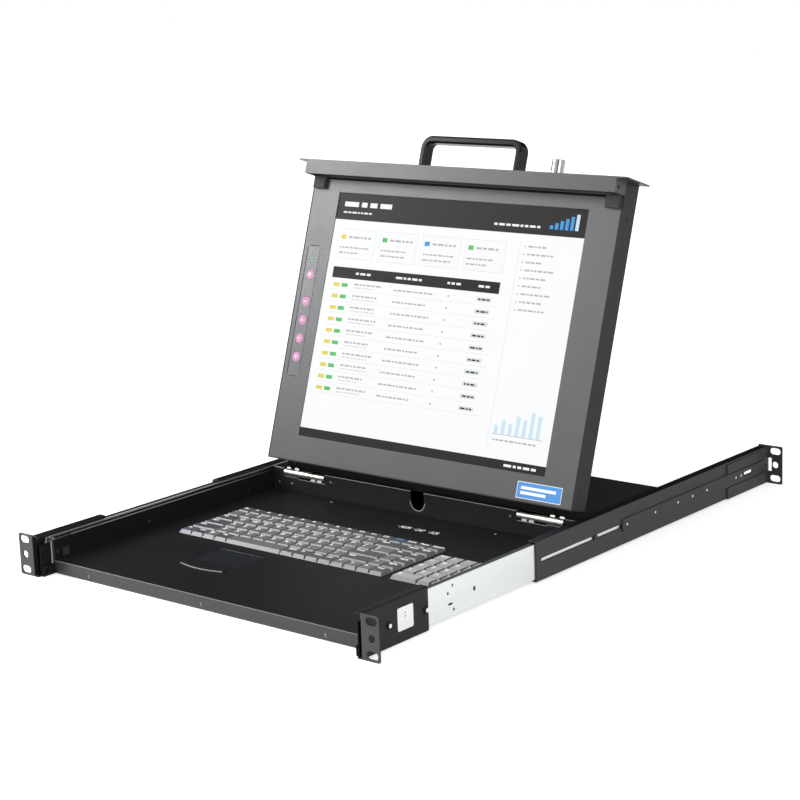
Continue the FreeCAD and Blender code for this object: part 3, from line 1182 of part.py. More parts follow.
# ---- Write every sub-part ------------------------------------------------------------
write_pair("front_bracket", front_bracket())
write_pair("slide_outer", slide_outer())
write("rail_screws", rail_screws())
write("data_label", data_label())
write_pair("rear_sleeve", rear_sleeve())
write_pair("rear_ear", rear_ear())
write_pair("adjust_strip", adjust_strip())
write_pair("slide_middle", slide_middle())
write_pair("slide_inner", slide_inner())
write_pair("ball_cage_outer", outer_cage())
write_pair("ball_cage_inner", inner_cage())
write("tray_pan", tray_pan())
write("deck_plate", deck_plate())
write("rear_cover", rear_cover())
write("keyboard_chassis", keyboard_chassis())
for number, (widths, (front, depth)) in enumerate(zip(MAIN_ROWS, row_starts()), 1):
    write("key_row_" + str(number), Part.makeCompound(key_row(widths, PITCH, KEYS_LEFT, front, depth)))
number_keys = []
for index, widths in enumerate(NUMPAD_ROWS):
    front = KEYS_FRONT + index * NUMPAD_PITCH
    number_keys += key_row(widths, NUMPAD_PITCH, NUMPAD_LEFT, front, NUMPAD_PITCH)
write("numpad_keys", Part.makeCompound(number_keys))
write("touchpad", touchpad())
write("touch_button_left", touch_button(-1))
write("touch_button_right", touch_button(1))
write("main_board", main_board())
write("rear_sockets", rear_sockets())
write("indicator_lamps", indicator_lamps())
write("tray_screws", tray_screws())
write_pair("hinge_base", hinge_base())
write("lcd_housing", opened(lcd_housing()))
write("lcd_bezel", opened(lcd_bezel()))
write("lcd_panel", opened(lcd_panel()))
write("lcd_board", opened(lcd_board()))
write("osd_strip", opened(osd_strip()))
write("power_led", opened(power_led()))
for number, station in enumerate(OSD_KEY_STATIONS, 1):
    write("osd_key_" + str(number), opened(osd_key(station)))
write("front_panel", opened(front_panel()))
write("handle", opened(handle()))
write("lock_knob", opened(lock_knob()))
write("lid_fixings", opened(lid_fixings()))
write("bumpers", opened(bumpers()))
write("badge", opened(badge()))
leaf = opened(hinge_leaf())
write("hinge_leaf_right", leaf)
write("hinge_leaf_left", mirrored(leaf))
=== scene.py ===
"""Looks of a rackmount LCD console drawer, built round its packed construction frame.

The frame holds every rigid piece at its real size. This script gives each piece its finish, some
faces with painted light or shade, and adds what is printed, lit or too small for the construction
model: key legends, the page on the screen, washers, lugs and seams, painted shadows and highlights,
and the marks on the deck, the label and the control keys.
"""
import json
import logging
import math
from dataclasses import dataclass
from enum import Enum
from typing import Callable, Sequence

import bmesh
import bpy
from mathutils import Matrix, Vector

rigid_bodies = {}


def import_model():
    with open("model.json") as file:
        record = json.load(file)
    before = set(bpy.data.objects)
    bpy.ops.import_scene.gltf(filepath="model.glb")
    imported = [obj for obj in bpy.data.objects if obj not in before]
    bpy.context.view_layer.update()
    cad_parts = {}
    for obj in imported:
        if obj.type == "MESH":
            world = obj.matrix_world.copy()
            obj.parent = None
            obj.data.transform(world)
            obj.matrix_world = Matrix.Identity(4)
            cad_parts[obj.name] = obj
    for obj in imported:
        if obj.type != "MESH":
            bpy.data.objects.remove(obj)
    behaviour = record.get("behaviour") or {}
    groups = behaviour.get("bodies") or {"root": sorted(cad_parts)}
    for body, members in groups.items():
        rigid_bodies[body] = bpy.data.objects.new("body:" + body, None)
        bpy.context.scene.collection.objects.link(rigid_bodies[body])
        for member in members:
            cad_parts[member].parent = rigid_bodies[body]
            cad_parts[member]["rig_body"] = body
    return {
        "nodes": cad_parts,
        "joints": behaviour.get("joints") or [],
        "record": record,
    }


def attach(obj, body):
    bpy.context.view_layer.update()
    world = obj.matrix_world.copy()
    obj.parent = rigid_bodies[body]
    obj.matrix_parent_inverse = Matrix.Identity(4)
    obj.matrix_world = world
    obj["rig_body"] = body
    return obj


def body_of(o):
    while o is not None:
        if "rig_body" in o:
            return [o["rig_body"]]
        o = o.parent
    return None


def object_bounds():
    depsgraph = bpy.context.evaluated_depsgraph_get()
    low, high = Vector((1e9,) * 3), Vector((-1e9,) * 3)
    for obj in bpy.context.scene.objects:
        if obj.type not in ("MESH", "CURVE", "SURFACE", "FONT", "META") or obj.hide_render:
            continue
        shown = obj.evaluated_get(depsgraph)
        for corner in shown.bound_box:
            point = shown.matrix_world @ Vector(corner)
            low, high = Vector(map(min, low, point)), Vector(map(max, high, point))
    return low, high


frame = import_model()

CAD_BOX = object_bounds()
HINGE = next(joint for joint in frame["joints"] if joint["name"] == "lid_hinge")

MM = 0.001
RIGHT, BACK, UP = Vector((1, 0, 0)), Vector((0, 1, 0)), Vector((0, 0, 1))
Colour = tuple[float, float, float]
Point = tuple[float, float, float]
Socket = bpy.types.NodeSocket
Node = bpy.types.Node
Group = bpy.types.NodeTree
Material = bpy.types.Material
Face = bpy.types.MeshPolygon
Value = float | Socket
LOG = logging.getLogger("console_drawer")


def rgba(colour: Sequence[float]) -> tuple[float, float, float, float]:
    """Colour with full opacity."""
    return (colour[0], colour[1], colour[2], 1.0)


def grey(level: float) -> Colour:
    """Neutral colour of one level."""
    return (level, level, level)


# ---- Node trees ----
class Tree:
    """A shader node tree that is being filled in."""

    def __init__(self, tree: Group) -> None:
        """Empty the tree of a material, world or group."""
        self.tree = tree
        self.tree.nodes.clear()

    def add(self, kind: str, values: dict | None = None, **settings: object) -> Node:
        """Add a node.

        Args:
            kind: the node's type name.
            values: input name or index to a constant, or to the socket that feeds it.
            settings: properties of the node itself.

        Returns:
            The new node.
        """
        node = self.tree.nodes.new(kind)
        for name, value in settings.items():
            setattr(node, name, value)
        for key, value in (values or {}).items():
            if isinstance(value, Socket):
                self.tree.links.new(value, node.inputs[key])
            else:
                node.inputs[key].default_value = value
        return node

    def math(self, operation: str, first: Value, second: Value = 0.0) -> Socket:
        """Combine two numbers or sockets by an arithmetic operation."""
        return self.add("ShaderNodeMath", {0: first, 1: second}, operation=operation).outputs[0]

    def mix(self, factor: Value, first: Colour | Socket, second: Colour | Socket) -> Socket:
        """Mix two colours by the share of the second."""
        first, second = (part if isinstance(part, Socket) else rgba(part) for part in (first, second))
        return self.add("ShaderNodeMix", {0: factor, 6: first, 7: second}, data_type="RGBA").outputs[2]

    def spread(self, value: Socket, low: float, high: float) -> Socket:
        """Stretch a 0 to 1 value over a range."""
        return self.add("ShaderNodeMapRange", {"Value": value, "To Min": low, "To Max": high}).outputs[0]

    def noise(self, place: Socket, scale: Value, detail: float, rough: float = 0.5) -> Socket:
        """Cloudy noise at a place."""
        values = {"Vector": place, "Scale": scale, "Detail": detail, "Roughness": rough}
        return self.add("ShaderNodeTexNoise", values).outputs["Fac"]

    def here(self) -> Socket:
        """Place on the piece, in its own frame."""
        return self.add("ShaderNodeTexCoord").outputs["Object"]

    def relief(self, strength: float, depth: float, height: Socket, normal: Socket) -> Socket:
        """Normal of a bumpy surface."""
        values = {"Strength": strength, "Distance": depth, "Height": height, "Normal": normal}
        return self.add("ShaderNodeBump", values).outputs["Normal"]

    def place(self, group: Group, values: dict) -> Sequence[Socket]:
        """Outputs of a shared effect that is placed in this tree."""
        return self.add("ShaderNodeGroup", values, node_tree=group).outputs


class Effects:
    """Shader node groups that several finishes share, each built once."""

    def __init__(self) -> None:
        """Build the groups."""
        self.grain = self._grain()
        self.edges = self._edges()
        self.brushing = self._brushing()
        self.dust = self._dust()
        self.reach = self._reach()

    @staticmethod
    def _group(name: str, inputs: dict[str, float], **outputs: str) -> tuple[Tree, Sequence[Socket]]:
        """Start a group.

        Args:
            name: the group's name.
            inputs: name of each float input to its default.
            outputs: name of each output to its kind, Float or Vector.

        Returns:
            Its tree and the sockets of its inputs.
        """
        tree = bpy.data.node_groups.new(name, "ShaderNodeTree")
        for key, value in inputs.items():
            socket = tree.interface.new_socket(key, in_out="INPUT", socket_type="NodeSocketFloat")
            socket.default_value = value
        for key, kind in outputs.items():
            tree.interface.new_socket(key, in_out="OUTPUT", socket_type="NodeSocket" + kind)
        body = Tree(tree)
        return body, body.add("NodeGroupInput").outputs

    def _grain(self) -> Group:
        """Fine even texture of powder coat or moulded plastic.

        Returns:
            A group that gives a mottle and a height.
        """
        body, given = self._group("fine_grain", {"Scale": 900.0, "Mottle": 25.0},
                                  Value="Float", Height="Float")
        place = body.here()
        body.add("NodeGroupOutput", {"Value": body.noise(place, given["Mottle"], detail=4.0, rough=0.55),
                                     "Height": body.noise(place, given["Scale"], detail=3.0, rough=0.6)})
        return body.tree

    def _edges(self) -> Group:
        """Rounded edges.

        Returns:
            A group that gives a softened normal and a mask of where the surface turns.
        """
        body, given = self._group("soft_edges", {"Radius": 0.0004, "Gain": 3.0},
                                  Normal="Vector", Mask="Float")
        soft = body.add("ShaderNodeBevel", {"Radius": given["Radius"]}, samples=4).outputs[0]
        true = body.add("ShaderNodeNewGeometry").outputs["True Normal"]
        turn = body.add("ShaderNodeVectorMath", {0: soft, 1: true}, operation="DOT_PRODUCT").outputs["Value"]
        wear_and_highlight = body.math("MULTIPLY", body.math("SUBTRACT", 1.0, turn), given["Gain"])
        mask = body.math("MINIMUM", body.math("MAXIMUM", wear_and_highlight, 0.0), 1.0)
        body.add("NodeGroupOutput", {"Normal": soft, "Mask": mask})
        return body.tree

    def _brushing(self) -> Group:
        """Long rolling streaks along the rails.

        Returns:
            A group that gives a value and a height.
        """
        body, given = self._group("rolled_streaks", {"Along": 6.0, "Across": 700.0},
                                  Value="Float", Height="Float")
        place = body.here()
        size = {"X": given["Across"], "Y": given["Along"], "Z": given["Across"]}
        scale = body.add("ShaderNodeCombineXYZ", size).outputs[0]
        stretched = body.add("ShaderNodeVectorMath", {0: place, 1: scale}, operation="MULTIPLY").outputs[0]
        streak = body.noise(stretched, 1.0, detail=4.0)
        cloud = body.noise(place, 18.0, detail=3.0)
        value = body.math("ADD", body.math("MULTIPLY", streak, 0.5), body.math("MULTIPLY", cloud, 0.5))
        body.add("NodeGroupOutput", {"Value": value, "Height": streak})
        return body.tree

    def _dust(self) -> Group:
        """Thin film of dust and handling marks on faces that look up.

        Returns:
            A group that gives one mask.
        """
        body, given = self._group("dust_film", {"Amount": 0.1, "Scale": 9.0}, Mask="Float")
        normal = body.add("ShaderNodeNewGeometry").outputs["True Normal"]
        facing = body.math("MAXIMUM", body.add("ShaderNodeSeparateXYZ", {0: normal}).outputs["Z"], 0.0)
        patch = body.noise(body.here(), given["Scale"], detail=6.0, rough=0.65)
        film = body.math("MULTIPLY", body.math("MULTIPLY", facing, patch), given["Amount"])
        body.add("NodeGroupOutput", {"Mask": film})
        return body.tree

    def _reach(self) -> Group:
        """Parts further than a radius from a line along X.

        Returns:
            A group that gives one mask.
        """
        body, given = self._group("reach_from_line", {"Line Y": 0.0, "Line Z": 0.0, "Radius": 0.005},
                                  Mask="Float")
        parts = body.add("ShaderNodeSeparateXYZ", {0: body.here()}).outputs
        deep = body.math("SUBTRACT", parts["Y"], given["Line Y"])
        high = body.math("SUBTRACT", parts["Z"], given["Line Z"])
        square = body.math("ADD", body.math("MULTIPLY", deep, deep), body.math("MULTIPLY", high, high))
        away = body.math("GREATER_THAN", body.math("SQRT", square), given["Radius"])
        body.add("NodeGroupOutput", {"Mask": away})
        return body.tree


# ---- Kinds of finish ----
def new_material(name: str, shade: Callable[[Tree], Socket]) -> Material:
    """Make a material.

    Args:
        name: its name.
        shade: fills its tree and gives the surface's socket.

    Returns:
        The material.
    """
    material = bpy.data.materials.new(name)
    material.use_nodes = True
    tree = Tree(material.node_tree)
    tree.add("ShaderNodeOutputMaterial", {"Surface": shade(tree)})
    return material


@dataclass(frozen=True)
class Finish:
    """A finish by name."""

    name: str

    def shade(self, tree: Tree, effects: Effects) -> Socket:
        """Surface of the finish, which each kind of finish fills in for itself."""
        raise NotImplementedError

    def build(self, effects: Effects) -> Material:
        """Make the finish's material with the shared effects."""
        return new_material(self.name, lambda tree: self.shade(tree, effects))


@dataclass(frozen=True)
class Coat(Finish):
    """Painted, moulded or rubber surface."""

    colour: Colour
    rough: float = 0.5
    sheen: float = 0.5
    grain: float = 900.0
    bump: float = 0.05
    depth: float = 0.00004
    variety: float = 0.12
    swing: float = 0.06
    # edge, gain and lift lighten the colour where the surface turns: wear, and a painted highlight
    edge: float = 0.3
    edge_radius: float = 0.0004
    gain: float = 1.6
    lift: float = 0.012
    rubbed: float = 0.1
    dust: float = 0.0
    dust_level: float = 0.35
    clear: float = 0.0
    clear_rough: float = 0.12

    def shade(self, tree: Tree, effects: Effects) -> Socket:
        """Mottled colour with fine grain, edges lightened as wear and as a painted highlight, and a film of
        dust.

        Args:
            tree: the material's tree.
            effects: the shared node groups.

        Returns:
            The shader's socket.
        """
        grain = tree.place(effects.grain, {"Scale": self.grain})
        edges = tree.place(effects.edges, {"Radius": self.edge_radius})
        dust = tree.place(effects.dust, {"Amount": self.dust})
        dark = tuple(part * (1 - self.variety) for part in self.colour)
        pale = tuple(part * (1 + self.variety) for part in self.colour)
        lifted = tuple(min(1.0, part * self.gain + self.lift) for part in self.colour)
        base = tree.mix(grain["Value"], dark, pale)
        wear_and_highlight = tree.mix(tree.math("MULTIPLY", edges["Mask"], self.edge), base, lifted)
        film = tree.mix(dust["Mask"], wear_and_highlight, grey(self.dust_level))
        rough = tree.spread(grain["Value"], self.rough - self.swing, self.rough + self.swing)
        rubbed = tree.math("SUBTRACT", rough, tree.math("MULTIPLY", edges["Mask"], self.rubbed))
        relief = tree.relief(self.bump, self.depth, grain["Height"], edges["Normal"])
        return tree.add("ShaderNodeBsdfPrincipled", {
            "Base Color": film, "Roughness": rubbed, "Specular IOR Level": self.sheen,
            "Coat Weight": self.clear, "Coat Roughness": self.clear_rough, "Normal": relief}).outputs[0]


@dataclass(frozen=True)
class Metal(Finish):
    """Bare or plated metal, which may be painted beyond a radius from a line along X."""

    colour: Colour
    tint: Colour
    rough: float = 0.3
    smooth: float = 0.07
    dull: float = 0.09
    along: float = 6.0
    across: float = 700.0
    bump: float = 0.05
    depth: float = 0.00003
    edge_radius: float = 0.0003
    painted: tuple[float, float, float] | None = None
    paint_level: float = 0.008
    paint_rough: float = 0.3
    paint_sheen: float = 0.1

    def shade(self, tree: Tree, effects: Effects) -> Socket:
        """Streaked metal with rounded edges.

        Args:
            tree: the material's tree.
            effects: the shared node groups.

        Returns:
            The shader's socket.
        """
        streaks = tree.place(effects.brushing, {"Along": self.along, "Across": self.across})
        edges = tree.place(effects.edges, {"Radius": self.edge_radius})
        base = tree.mix(streaks["Value"], self.colour, self.tint)
        rough = tree.spread(streaks["Value"], self.rough - self.smooth, self.rough + self.dull)
        relief = tree.relief(self.bump, self.depth, streaks["Height"], edges["Normal"])
        values = {"Base Color": base, "Metallic": 1.0, "Roughness": rough, "Normal": relief}
        if self.painted:
            line = dict(zip(("Line Y", "Line Z", "Radius"), self.painted))
            away = tree.place(effects.reach, line)["Mask"]
            values["Base Color"] = tree.mix(away, base, grey(self.paint_level))
            values["Metallic"] = tree.math("SUBTRACT", 1.0, away)
            values["Roughness"] = tree.math("ADD", rough, tree.math("MULTIPLY", away, self.paint_rough))
            values["Specular IOR Level"] = self.paint_sheen
        return tree.add("ShaderNodeBsdfPrincipled", values).outputs[0]


@dataclass(frozen=True)
class Glow(Finish):
    """Lit surface behind a thin front: screen areas, lamps and lit keys."""

    colour: Colour
    strength: float = 1.0
    front: float = 0.01
    rough: float = 0.35
    shine: float = 0.06
    mottle: float = 12.0
    flicker: float = 0.03

    def shade(self, tree: Tree, effects: Effects) -> Socket:
        """Faintly uneven light behind a dark smooth front.

        Args:
            tree: the material's tree.
            effects: the shared node groups.

        Returns:
            The shader's socket.
        """
        grain = tree.place(effects.grain, {"Mottle": self.mottle})
        low = tuple(part * (1 - self.flicker) for part in self.colour)
        lit = tree.mix(grain["Value"], low, self.colour)
        return tree.add("ShaderNodeBsdfPrincipled", {
            "Base Color": rgba(grey(self.front)), "Roughness": self.rough,
            "Specular IOR Level": self.shine, "Emission Color": lit,
            "Emission Strength": self.strength}).outputs[0]


# ---- Building pieces ----
class Body(Enum):
    """Rigid bodies of the frame that new pieces ride on."""

    RACK = "rack_fixed"
    DRAWER = "drawer"
    LID = "lid"


class Side(Enum):
    """The two sides of the drawer, by the sign of X."""

    RIGHT = 1
    LEFT = -1

    @property
    def word(self) -> str:
        """Its word in the names of nodes and pieces."""
        return self.name.lower()


class Form:
    """Closed solids gathered into one mesh."""

    def __init__(self) -> None:
        """Start empty."""
        self.mesh = bmesh.new()

    def prism(self, outline: Sequence[Vector], depth: Vector) -> None:
        """Add a prism.

        Args:
            outline: corners of one end, in order.
            depth: from that end to the other.
        """
        near = [self.mesh.verts.new(point) for point in outline]
        far = [self.mesh.verts.new(point + depth) for point in outline]
        self.mesh.faces.new(near)
        self.mesh.faces.new(list(reversed(far)))
        for index in range(len(near)):
            after = (index + 1) % len(near)
            self.mesh.faces.new([near[index], far[index], far[after], near[after]])

    def finish(self, name: str, body: Body | str, slot: str, material: Material) -> None:
        """Turn what was gathered into a piece.

        Args:
            name: the piece's name.
            body: the body it rides on.
            slot: the record's material slot; not used.
            material: its finish.
        """
        bmesh.ops.recalc_face_normals(self.mesh, faces=self.mesh.faces)
        data = bpy.data.meshes.new(name)
        self.mesh.to_mesh(data)
        self.mesh.free()
        data.materials.append(material)
        piece = bpy.data.objects.new(name, data)
        bpy.context.scene.collection.objects.link(piece)
        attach(piece, body.value if isinstance(body, Body) else body)
        LOG.info("%s on %s, %d faces", name, body, len(data.polygons))


@dataclass(frozen=True)
class Plane:
    """A flat place to draw on: an origin with directions right, up and out."""

    origin: Vector
    right: Vector
    up: Vector

    @property
    def out(self) -> Vector:
        """Direction away from the surface."""
        return self.right.cross(self.up)

    def at(self, x: float, y: float, lift: float = 0.0) -> Vector:
        """Point in the frame, from millimetres in the plane."""
        return self.origin + (self.right * x + self.up * y + self.out * lift) * MM

    def matrix(self, x: float, y: float, lift: float = 0.0) -> Matrix:
        """Placement of a drawing whose own X and Y run right and up."""
        turn = Matrix((self.right, self.up, self.out)).transposed().to_4x4()
        return Matrix.Translation(self.at(x, y, lift)) @ turn


def front_plane(y: float) -> Plane:
    """Plane that faces the front, at a depth in millimetres."""
    return Plane(Vector((0, y, 0)) * MM, RIGHT, UP)


def top_plane(z: float) -> Plane:
    """Plane that faces up, at a height in millimetres."""
    return Plane(Vector((0, 0, z)) * MM, RIGHT, BACK)


def side_plane(side: Side, x: float, y: float = 0.0, z: float = 0.0) -> Plane:
    """Plane that faces outwards at a side, from an origin in millimetres."""
    return Plane(Vector((side.value * x, y, z)) * MM, Vector((0, side.value, 0)), UP)


class Print(Form):
    """Thin printed or lit marks on a plane. Places and sizes are in millimetres."""

    def __init__(self, plane: Plane, weight: float = 0.0, thickness: float = 0.03) -> None:
        """Start with no marks.

        Args:
            plane: the surface they lie on.
            weight: how much heavier than normal the letters are.
            thickness: how far the marks stand off the surface.
        """
        super().__init__()
        self.plane = plane
        self.weight = weight
        self.thickness = thickness

    def patch(self, corners: Sequence[tuple[float, float]], lift: float = 0.0) -> None:
        """Add a flat patch with these corners, raised by a lift."""
        self.prism([self.plane.at(x, y, lift) for x, y in corners], self.plane.out * (self.thickness * MM))

    def bar(self, x: float, y: float, width: float, height: float, lift: float = 0.0) -> None:
        """Add a rectangle from its lower left corner."""
        self.patch(((x, y), (x + width, y), (x + width, y + height), (x, y + height)), lift)

    def disc(self, x: float, y: float, radius: float, sides: int = 20, lift: float = 0.0) -> None:
        """Add a round spot with a number of straight sides."""
        turns = [2 * math.pi * index / sides for index in range(sides)]
        self.patch([(x + radius * math.cos(turn), y + radius * math.sin(turn)) for turn in turns], lift)

    def words(self, text: str, x: float, y: float, height: float, narrow: float = 1.0) -> None:
        """Add lettering.

        Args:
            text: the characters.
            x: left end.
            y: base line.
            height: height of a capital.
            narrow: width of the letters as a share of the normal width.
        """
        capital_share = 0.7
        curve = bpy.data.curves.new("lettering", "FONT")
        curve.body = text
        curve.size = height * MM / capital_share
        curve.resolution_u = 2
        curve.offset = self.weight * MM
        curve.extrude = self.thickness * MM / 2
        holder = bpy.data.objects.new("lettering", curve)
        data = bpy.data.meshes.new_from_object(holder)
        squeeze = Matrix.Diagonal((narrow, 1.0, 1.0, 1.0))
        data.transform(self.plane.matrix(x, y, self.thickness / 2) @ squeeze)
        self.mesh.from_mesh(data)
        bpy.data.objects.remove(holder)
        bpy.data.curves.remove(curve)
        bpy.data.meshes.remove(data)


# ---- Finishes of the drawer ----
def key_coat(name: str, colour: Colour) -> Coat:
    """Moulded key cap with softly rounded, rubbed edges, lightened as wear and as a painted highlight."""
    return Coat(name, colour, sheen=0.35, grain=1600.0, edge=0.6, edge_radius=0.0006, lift=0.1)


def ink(name: str, colour: Colour, variety: float = 0.12) -> Coat:
    """Printing ink."""
    return Coat(name, colour, rough=0.6, sheen=0.2, variety=variety, edge=0.0)


def turned(name: str, colour: Colour, tint: Colour, rough: float) -> Metal:
    """Metal of small turned parts."""
    return Metal(name, colour, tint, rough=rough, along=90.0, across=90.0)


def nickel(name: str, bare_radius: float) -> Metal:
    """Nickel plate near the hinge line and black paint beyond a radius from it, in metres."""
    return Metal(name, (0.62, 0.58, 0.54), (0.74, 0.71, 0.67), rough=0.4, along=60.0, across=60.0,
                 painted=(*HINGE["pos_m"][1:], bare_radius))


class Palette:
    """Every finish of the drawer, made once and handed out by name."""

    finishes: tuple[Finish, ...] = (
        Coat("powder_black", (0.0085, 0.0085, 0.0095), rough=0.55, sheen=0.06, bump=0.1, edge=0.5,
             edge_radius=0.0005, lift=0.03, dust=0.006),
        # Lighter copy of the black paint for the step wall and the cover behind it: painted light.
        Coat("powder_wall_painted_light", (0.016, 0.016, 0.0175), rough=0.55, sheen=0.08, bump=0.1, edge=0.5,
             edge_radius=0.0005, lift=0.03, dust=0.004),
        # Darker copy of the paint for the tops of brackets and sleeves: painted shade.
        Coat("powder_top_painted_shade", (0.004, 0.0045, 0.005), sheen=0.08, edge=0.7, lift=0.05),
        Coat("powder_bracket", (0.008, 0.0085, 0.0095), sheen=0.2, bump=0.1, edge=0.6,
             edge_radius=0.0006, lift=0.03, dust=0.008),
        Coat("powder_sleeve", (0.03, 0.03, 0.031), rough=0.55, sheen=0.3, bump=0.1,
             edge_radius=0.0005, dust=0.01),
        Coat("powder_lid", (0.035, 0.037, 0.041), rough=0.42, sheen=0.6, bump=0.06, edge=0.6,
             edge_radius=0.0005, lift=0.03),
        Coat("powder_housing", (0.009, 0.009, 0.01), sheen=0.25, bump=0.08, edge=0.6,
             edge_radius=0.0005, lift=0.03),
        # The front panel's coat, also put on front-facing faces of the deck lip and the bracket ears as
        # painted light.
        Coat("powder_front_and_lit_faces", (0.028, 0.029, 0.031), rough=0.4, bump=0.08, edge=0.8,
             edge_radius=0.0006, lift=0.12),
        Coat("edge_bright", (0.42, 0.42, 0.43), rough=0.4, edge=0.0),
        # Light grey for rounded top edges and rims: painted highlight.
        Coat("edge_painted_highlight", (0.24, 0.24, 0.245), rough=0.4, edge=0.0),
        Coat("moulded_black", (0.012, 0.012, 0.013), sheen=0.3, grain=1400.0, dust=0.02),
        key_coat("key_letter", (0.125, 0.127, 0.134)),
        key_coat("key_function", (0.06, 0.062, 0.067)),
        key_coat("key_space", (0.12, 0.122, 0.128)),
        key_coat("key_blue", (0.07, 0.085, 0.13)),
        key_coat("key_pad", (0.35, 0.352, 0.36)),
        # One lighter tone for all key sides: painted highlight.
        Coat("key_side", (0.135, 0.134, 0.143), rough=0.4, grain=1600.0, edge=0.4),
        Coat("touch_skin", (0.009, 0.0105, 0.015), sheen=0.12, dust=0.004, grain=2200.0, bump=0.04),
        Coat("touch_key", (0.01, 0.01, 0.012), rough=0.45, sheen=0.15, grain=1600.0, dust=0.004),
        Coat("label_film", (0.88, 0.88, 0.87), rough=0.38, sheen=0.4, variety=0.02, edge=0.0),
        Coat("handle_coat", (0.003, 0.0035, 0.004), rough=0.24, sheen=0.14, bump=0.03, edge=0.2,
             edge_radius=0.0018),
        # Pale coat on the rails' front faces and the hinge lugs: painted highlight. Near black for the tops
        # of rails and cages: painted shade.
        Coat("zinc_painted_highlight", (0.74, 0.76, 0.75), rough=0.4, sheen=0.4, variety=0.04, edge=0.0),
        Coat("zinc_top_painted_shade", (0.008, 0.0105, 0.0115), rough=0.4, sheen=0.2, edge=0.0),
        Coat("fixing_black", (0.009, 0.009, 0.01), rough=0.45, sheen=0.15, edge=0.2, dust=0.02),
        Coat("rubber_soft", (0.04, 0.04, 0.041), rough=0.75, sheen=0.25, grain=500.0, bump=0.2, dust=0.02),
        Coat("board_resist", (0.012, 0.09, 0.045), rough=0.35, clear=0.4, grain=300.0, dust=0.02),
        Coat("strip_skin", (0.066, 0.068, 0.072), rough=0.36, grain=1800.0, edge=0.5),
        Coat("badge_film", (0.04, 0.24, 0.62), rough=0.3, variety=0.05, edge=0.0, clear=0.4, dust=0.02),
        Coat("lamp_clear", (0.3, 0.3, 0.29), rough=0.2, variety=0.05, clear=0.5, dust=0.02),
        ink("print_white", grey(0.85), variety=0.03),
        ink("print_grey", grey(0.2)),
        ink("label_line", grey(0.7)),
        ink("print_blue", (0.05, 0.25, 0.6)),
        # Near black for dark joints and seams, and for painted shade in rail holes, round screw heads and
        # under the front panel's flange.
        Coat("dark_gap_and_painted_shade", (0.003, 0.003, 0.0035), rough=0.8, sheen=0.1, edge=0.0),
        Metal("zinc_plate", (0.62, 0.65, 0.63), (0.7, 0.73, 0.7)),
        Metal("zinc_shaded", (0.3, 0.31, 0.3), (0.4, 0.41, 0.4), rough=0.4),
        Metal("cage_plate", grey(0.05), grey(0.08), rough=0.4),
        Metal("knob_chrome", (0.3, 0.31, 0.33), (0.42, 0.43, 0.44), rough=0.16, along=40.0, across=300.0),
        nickel("nickel_plate", 0.0058),
        nickel("nickel_base", 0.0034),
        turned("steel_bright", (0.66, 0.66, 0.65), (0.8, 0.79, 0.77), rough=0.22),
        turned("screw_black", (0.1, 0.1, 0.105), (0.16, 0.16, 0.165), rough=0.38),
        Glow("page_white", (0.97, 0.98, 0.99), strength=0.98),
        Glow("page_dark", (0.018, 0.014, 0.015)),
        Glow("page_black", (0.006, 0.006, 0.007)),
        Glow("page_grey", (0.46, 0.47, 0.49)),
        Glow("page_faint", (0.72, 0.74, 0.76)),
        Glow("page_pale", (0.62, 0.8, 0.92)),
        Glow("page_light", (0.93, 0.94, 0.95)),
        Glow("page_yellow", (0.8, 0.68, 0.1)),
        Glow("page_green", (0.12, 0.55, 0.14)),
        Glow("page_blue", (0.06, 0.34, 0.72)),
        Glow("key_pink", (0.86, 0.4, 0.66), strength=0.9),
        Glow("key_core", (1.0, 0.86, 0.95), strength=0.98),
        Glow("lamp_green_lit", (0.08, 0.75, 0.16)),
    )

    def __init__(self) -> None:
        """Build the shared effects and every finish."""
        effects = Effects()
        self.materials = {finish.name: finish.build(effects) for finish in self.finishes}

    def get(self, name: str) -> Material:
        """Finish of that name."""
        return self.materials[name]

    def dress(self, node: str, *names: str) -> None:
        """Give one of the frame's nodes its finishes, the first of them on all its faces.

        Args:
            node: the node's name.
            names: the finishes' names.
        """
        data = frame["nodes"][node].data
        data.materials.clear()
        for name in names:
            data.materials.append(self.get(name))

    def trim(self, node: str, finish: str, chosen: Callable[[Face], bool]) -> None:
        """Give some faces of a node a second finish.

        Args:
            node: the node's name.
            finish: the finish's name.
            chosen: tells whether a face takes it.
        """
        data = frame["nodes"][node].data
        data.materials.append(self.get(finish))
        faces = [face for face in data.polygons if chosen(face)]
        for face in faces:
            face.material_index = len(data.materials) - 1
        LOG.info("%s on %d faces of %s", finish, len(faces), node)


SLOT_FINISH = {
    "black_steel": "powder_black", "zinc_steel": "zinc_plate", "cage_steel": "cage_plate",
    "black_screws": "steel_bright", "label_white": "label_film", "bezel_paint": "powder_lid",
    "nickel": "nickel_plate", "screen": "page_white", "board_green": "board_resist",
    "chassis_black": "moulded_black", "keys_grey": "key_function", "touch_surface": "touch_skin",
    "touch_button": "touch_key", "lamps": "lamp_clear", "lamp_green": "lamp_green_lit",
    "strip_black": "strip_skin", "osd_pink": "key_pink", "handle_black": "handle_coat",
    "chrome_knob": "knob_chrome", "fixings": "fixing_black", "rubber_black": "rubber_soft",
    "badge_blue": "badge_film", "socket_black": "moulded_black",
}


NODE_FINISH = {
    "front_bracket": "powder_bracket", "rear_sleeve": "powder_sleeve", "rear_ear": "powder_sleeve",
    "adjust_strip": "powder_sleeve", "lcd_housing": "powder_housing", "front_panel": "powder_front_and_lit_faces",
    "slide_middle": "zinc_shaded", "slide_inner": "zinc_shaded", "hinge_base": "nickel_base",
    "tray_screws": "screw_black",
}


def body_under(node: str) -> str:
    """Name of the body that one of the frame's nodes belongs to."""
    return body_of(frame["nodes"][node])[0]


def finish_of(node: str, slot: str) -> str:
    """Finish of one of the frame's nodes: that of its family if it has its own, or of its slot."""
    family = node.removesuffix("_right").removesuffix("_left")
    return NODE_FINISH.get(family, SLOT_FINISH[slot])


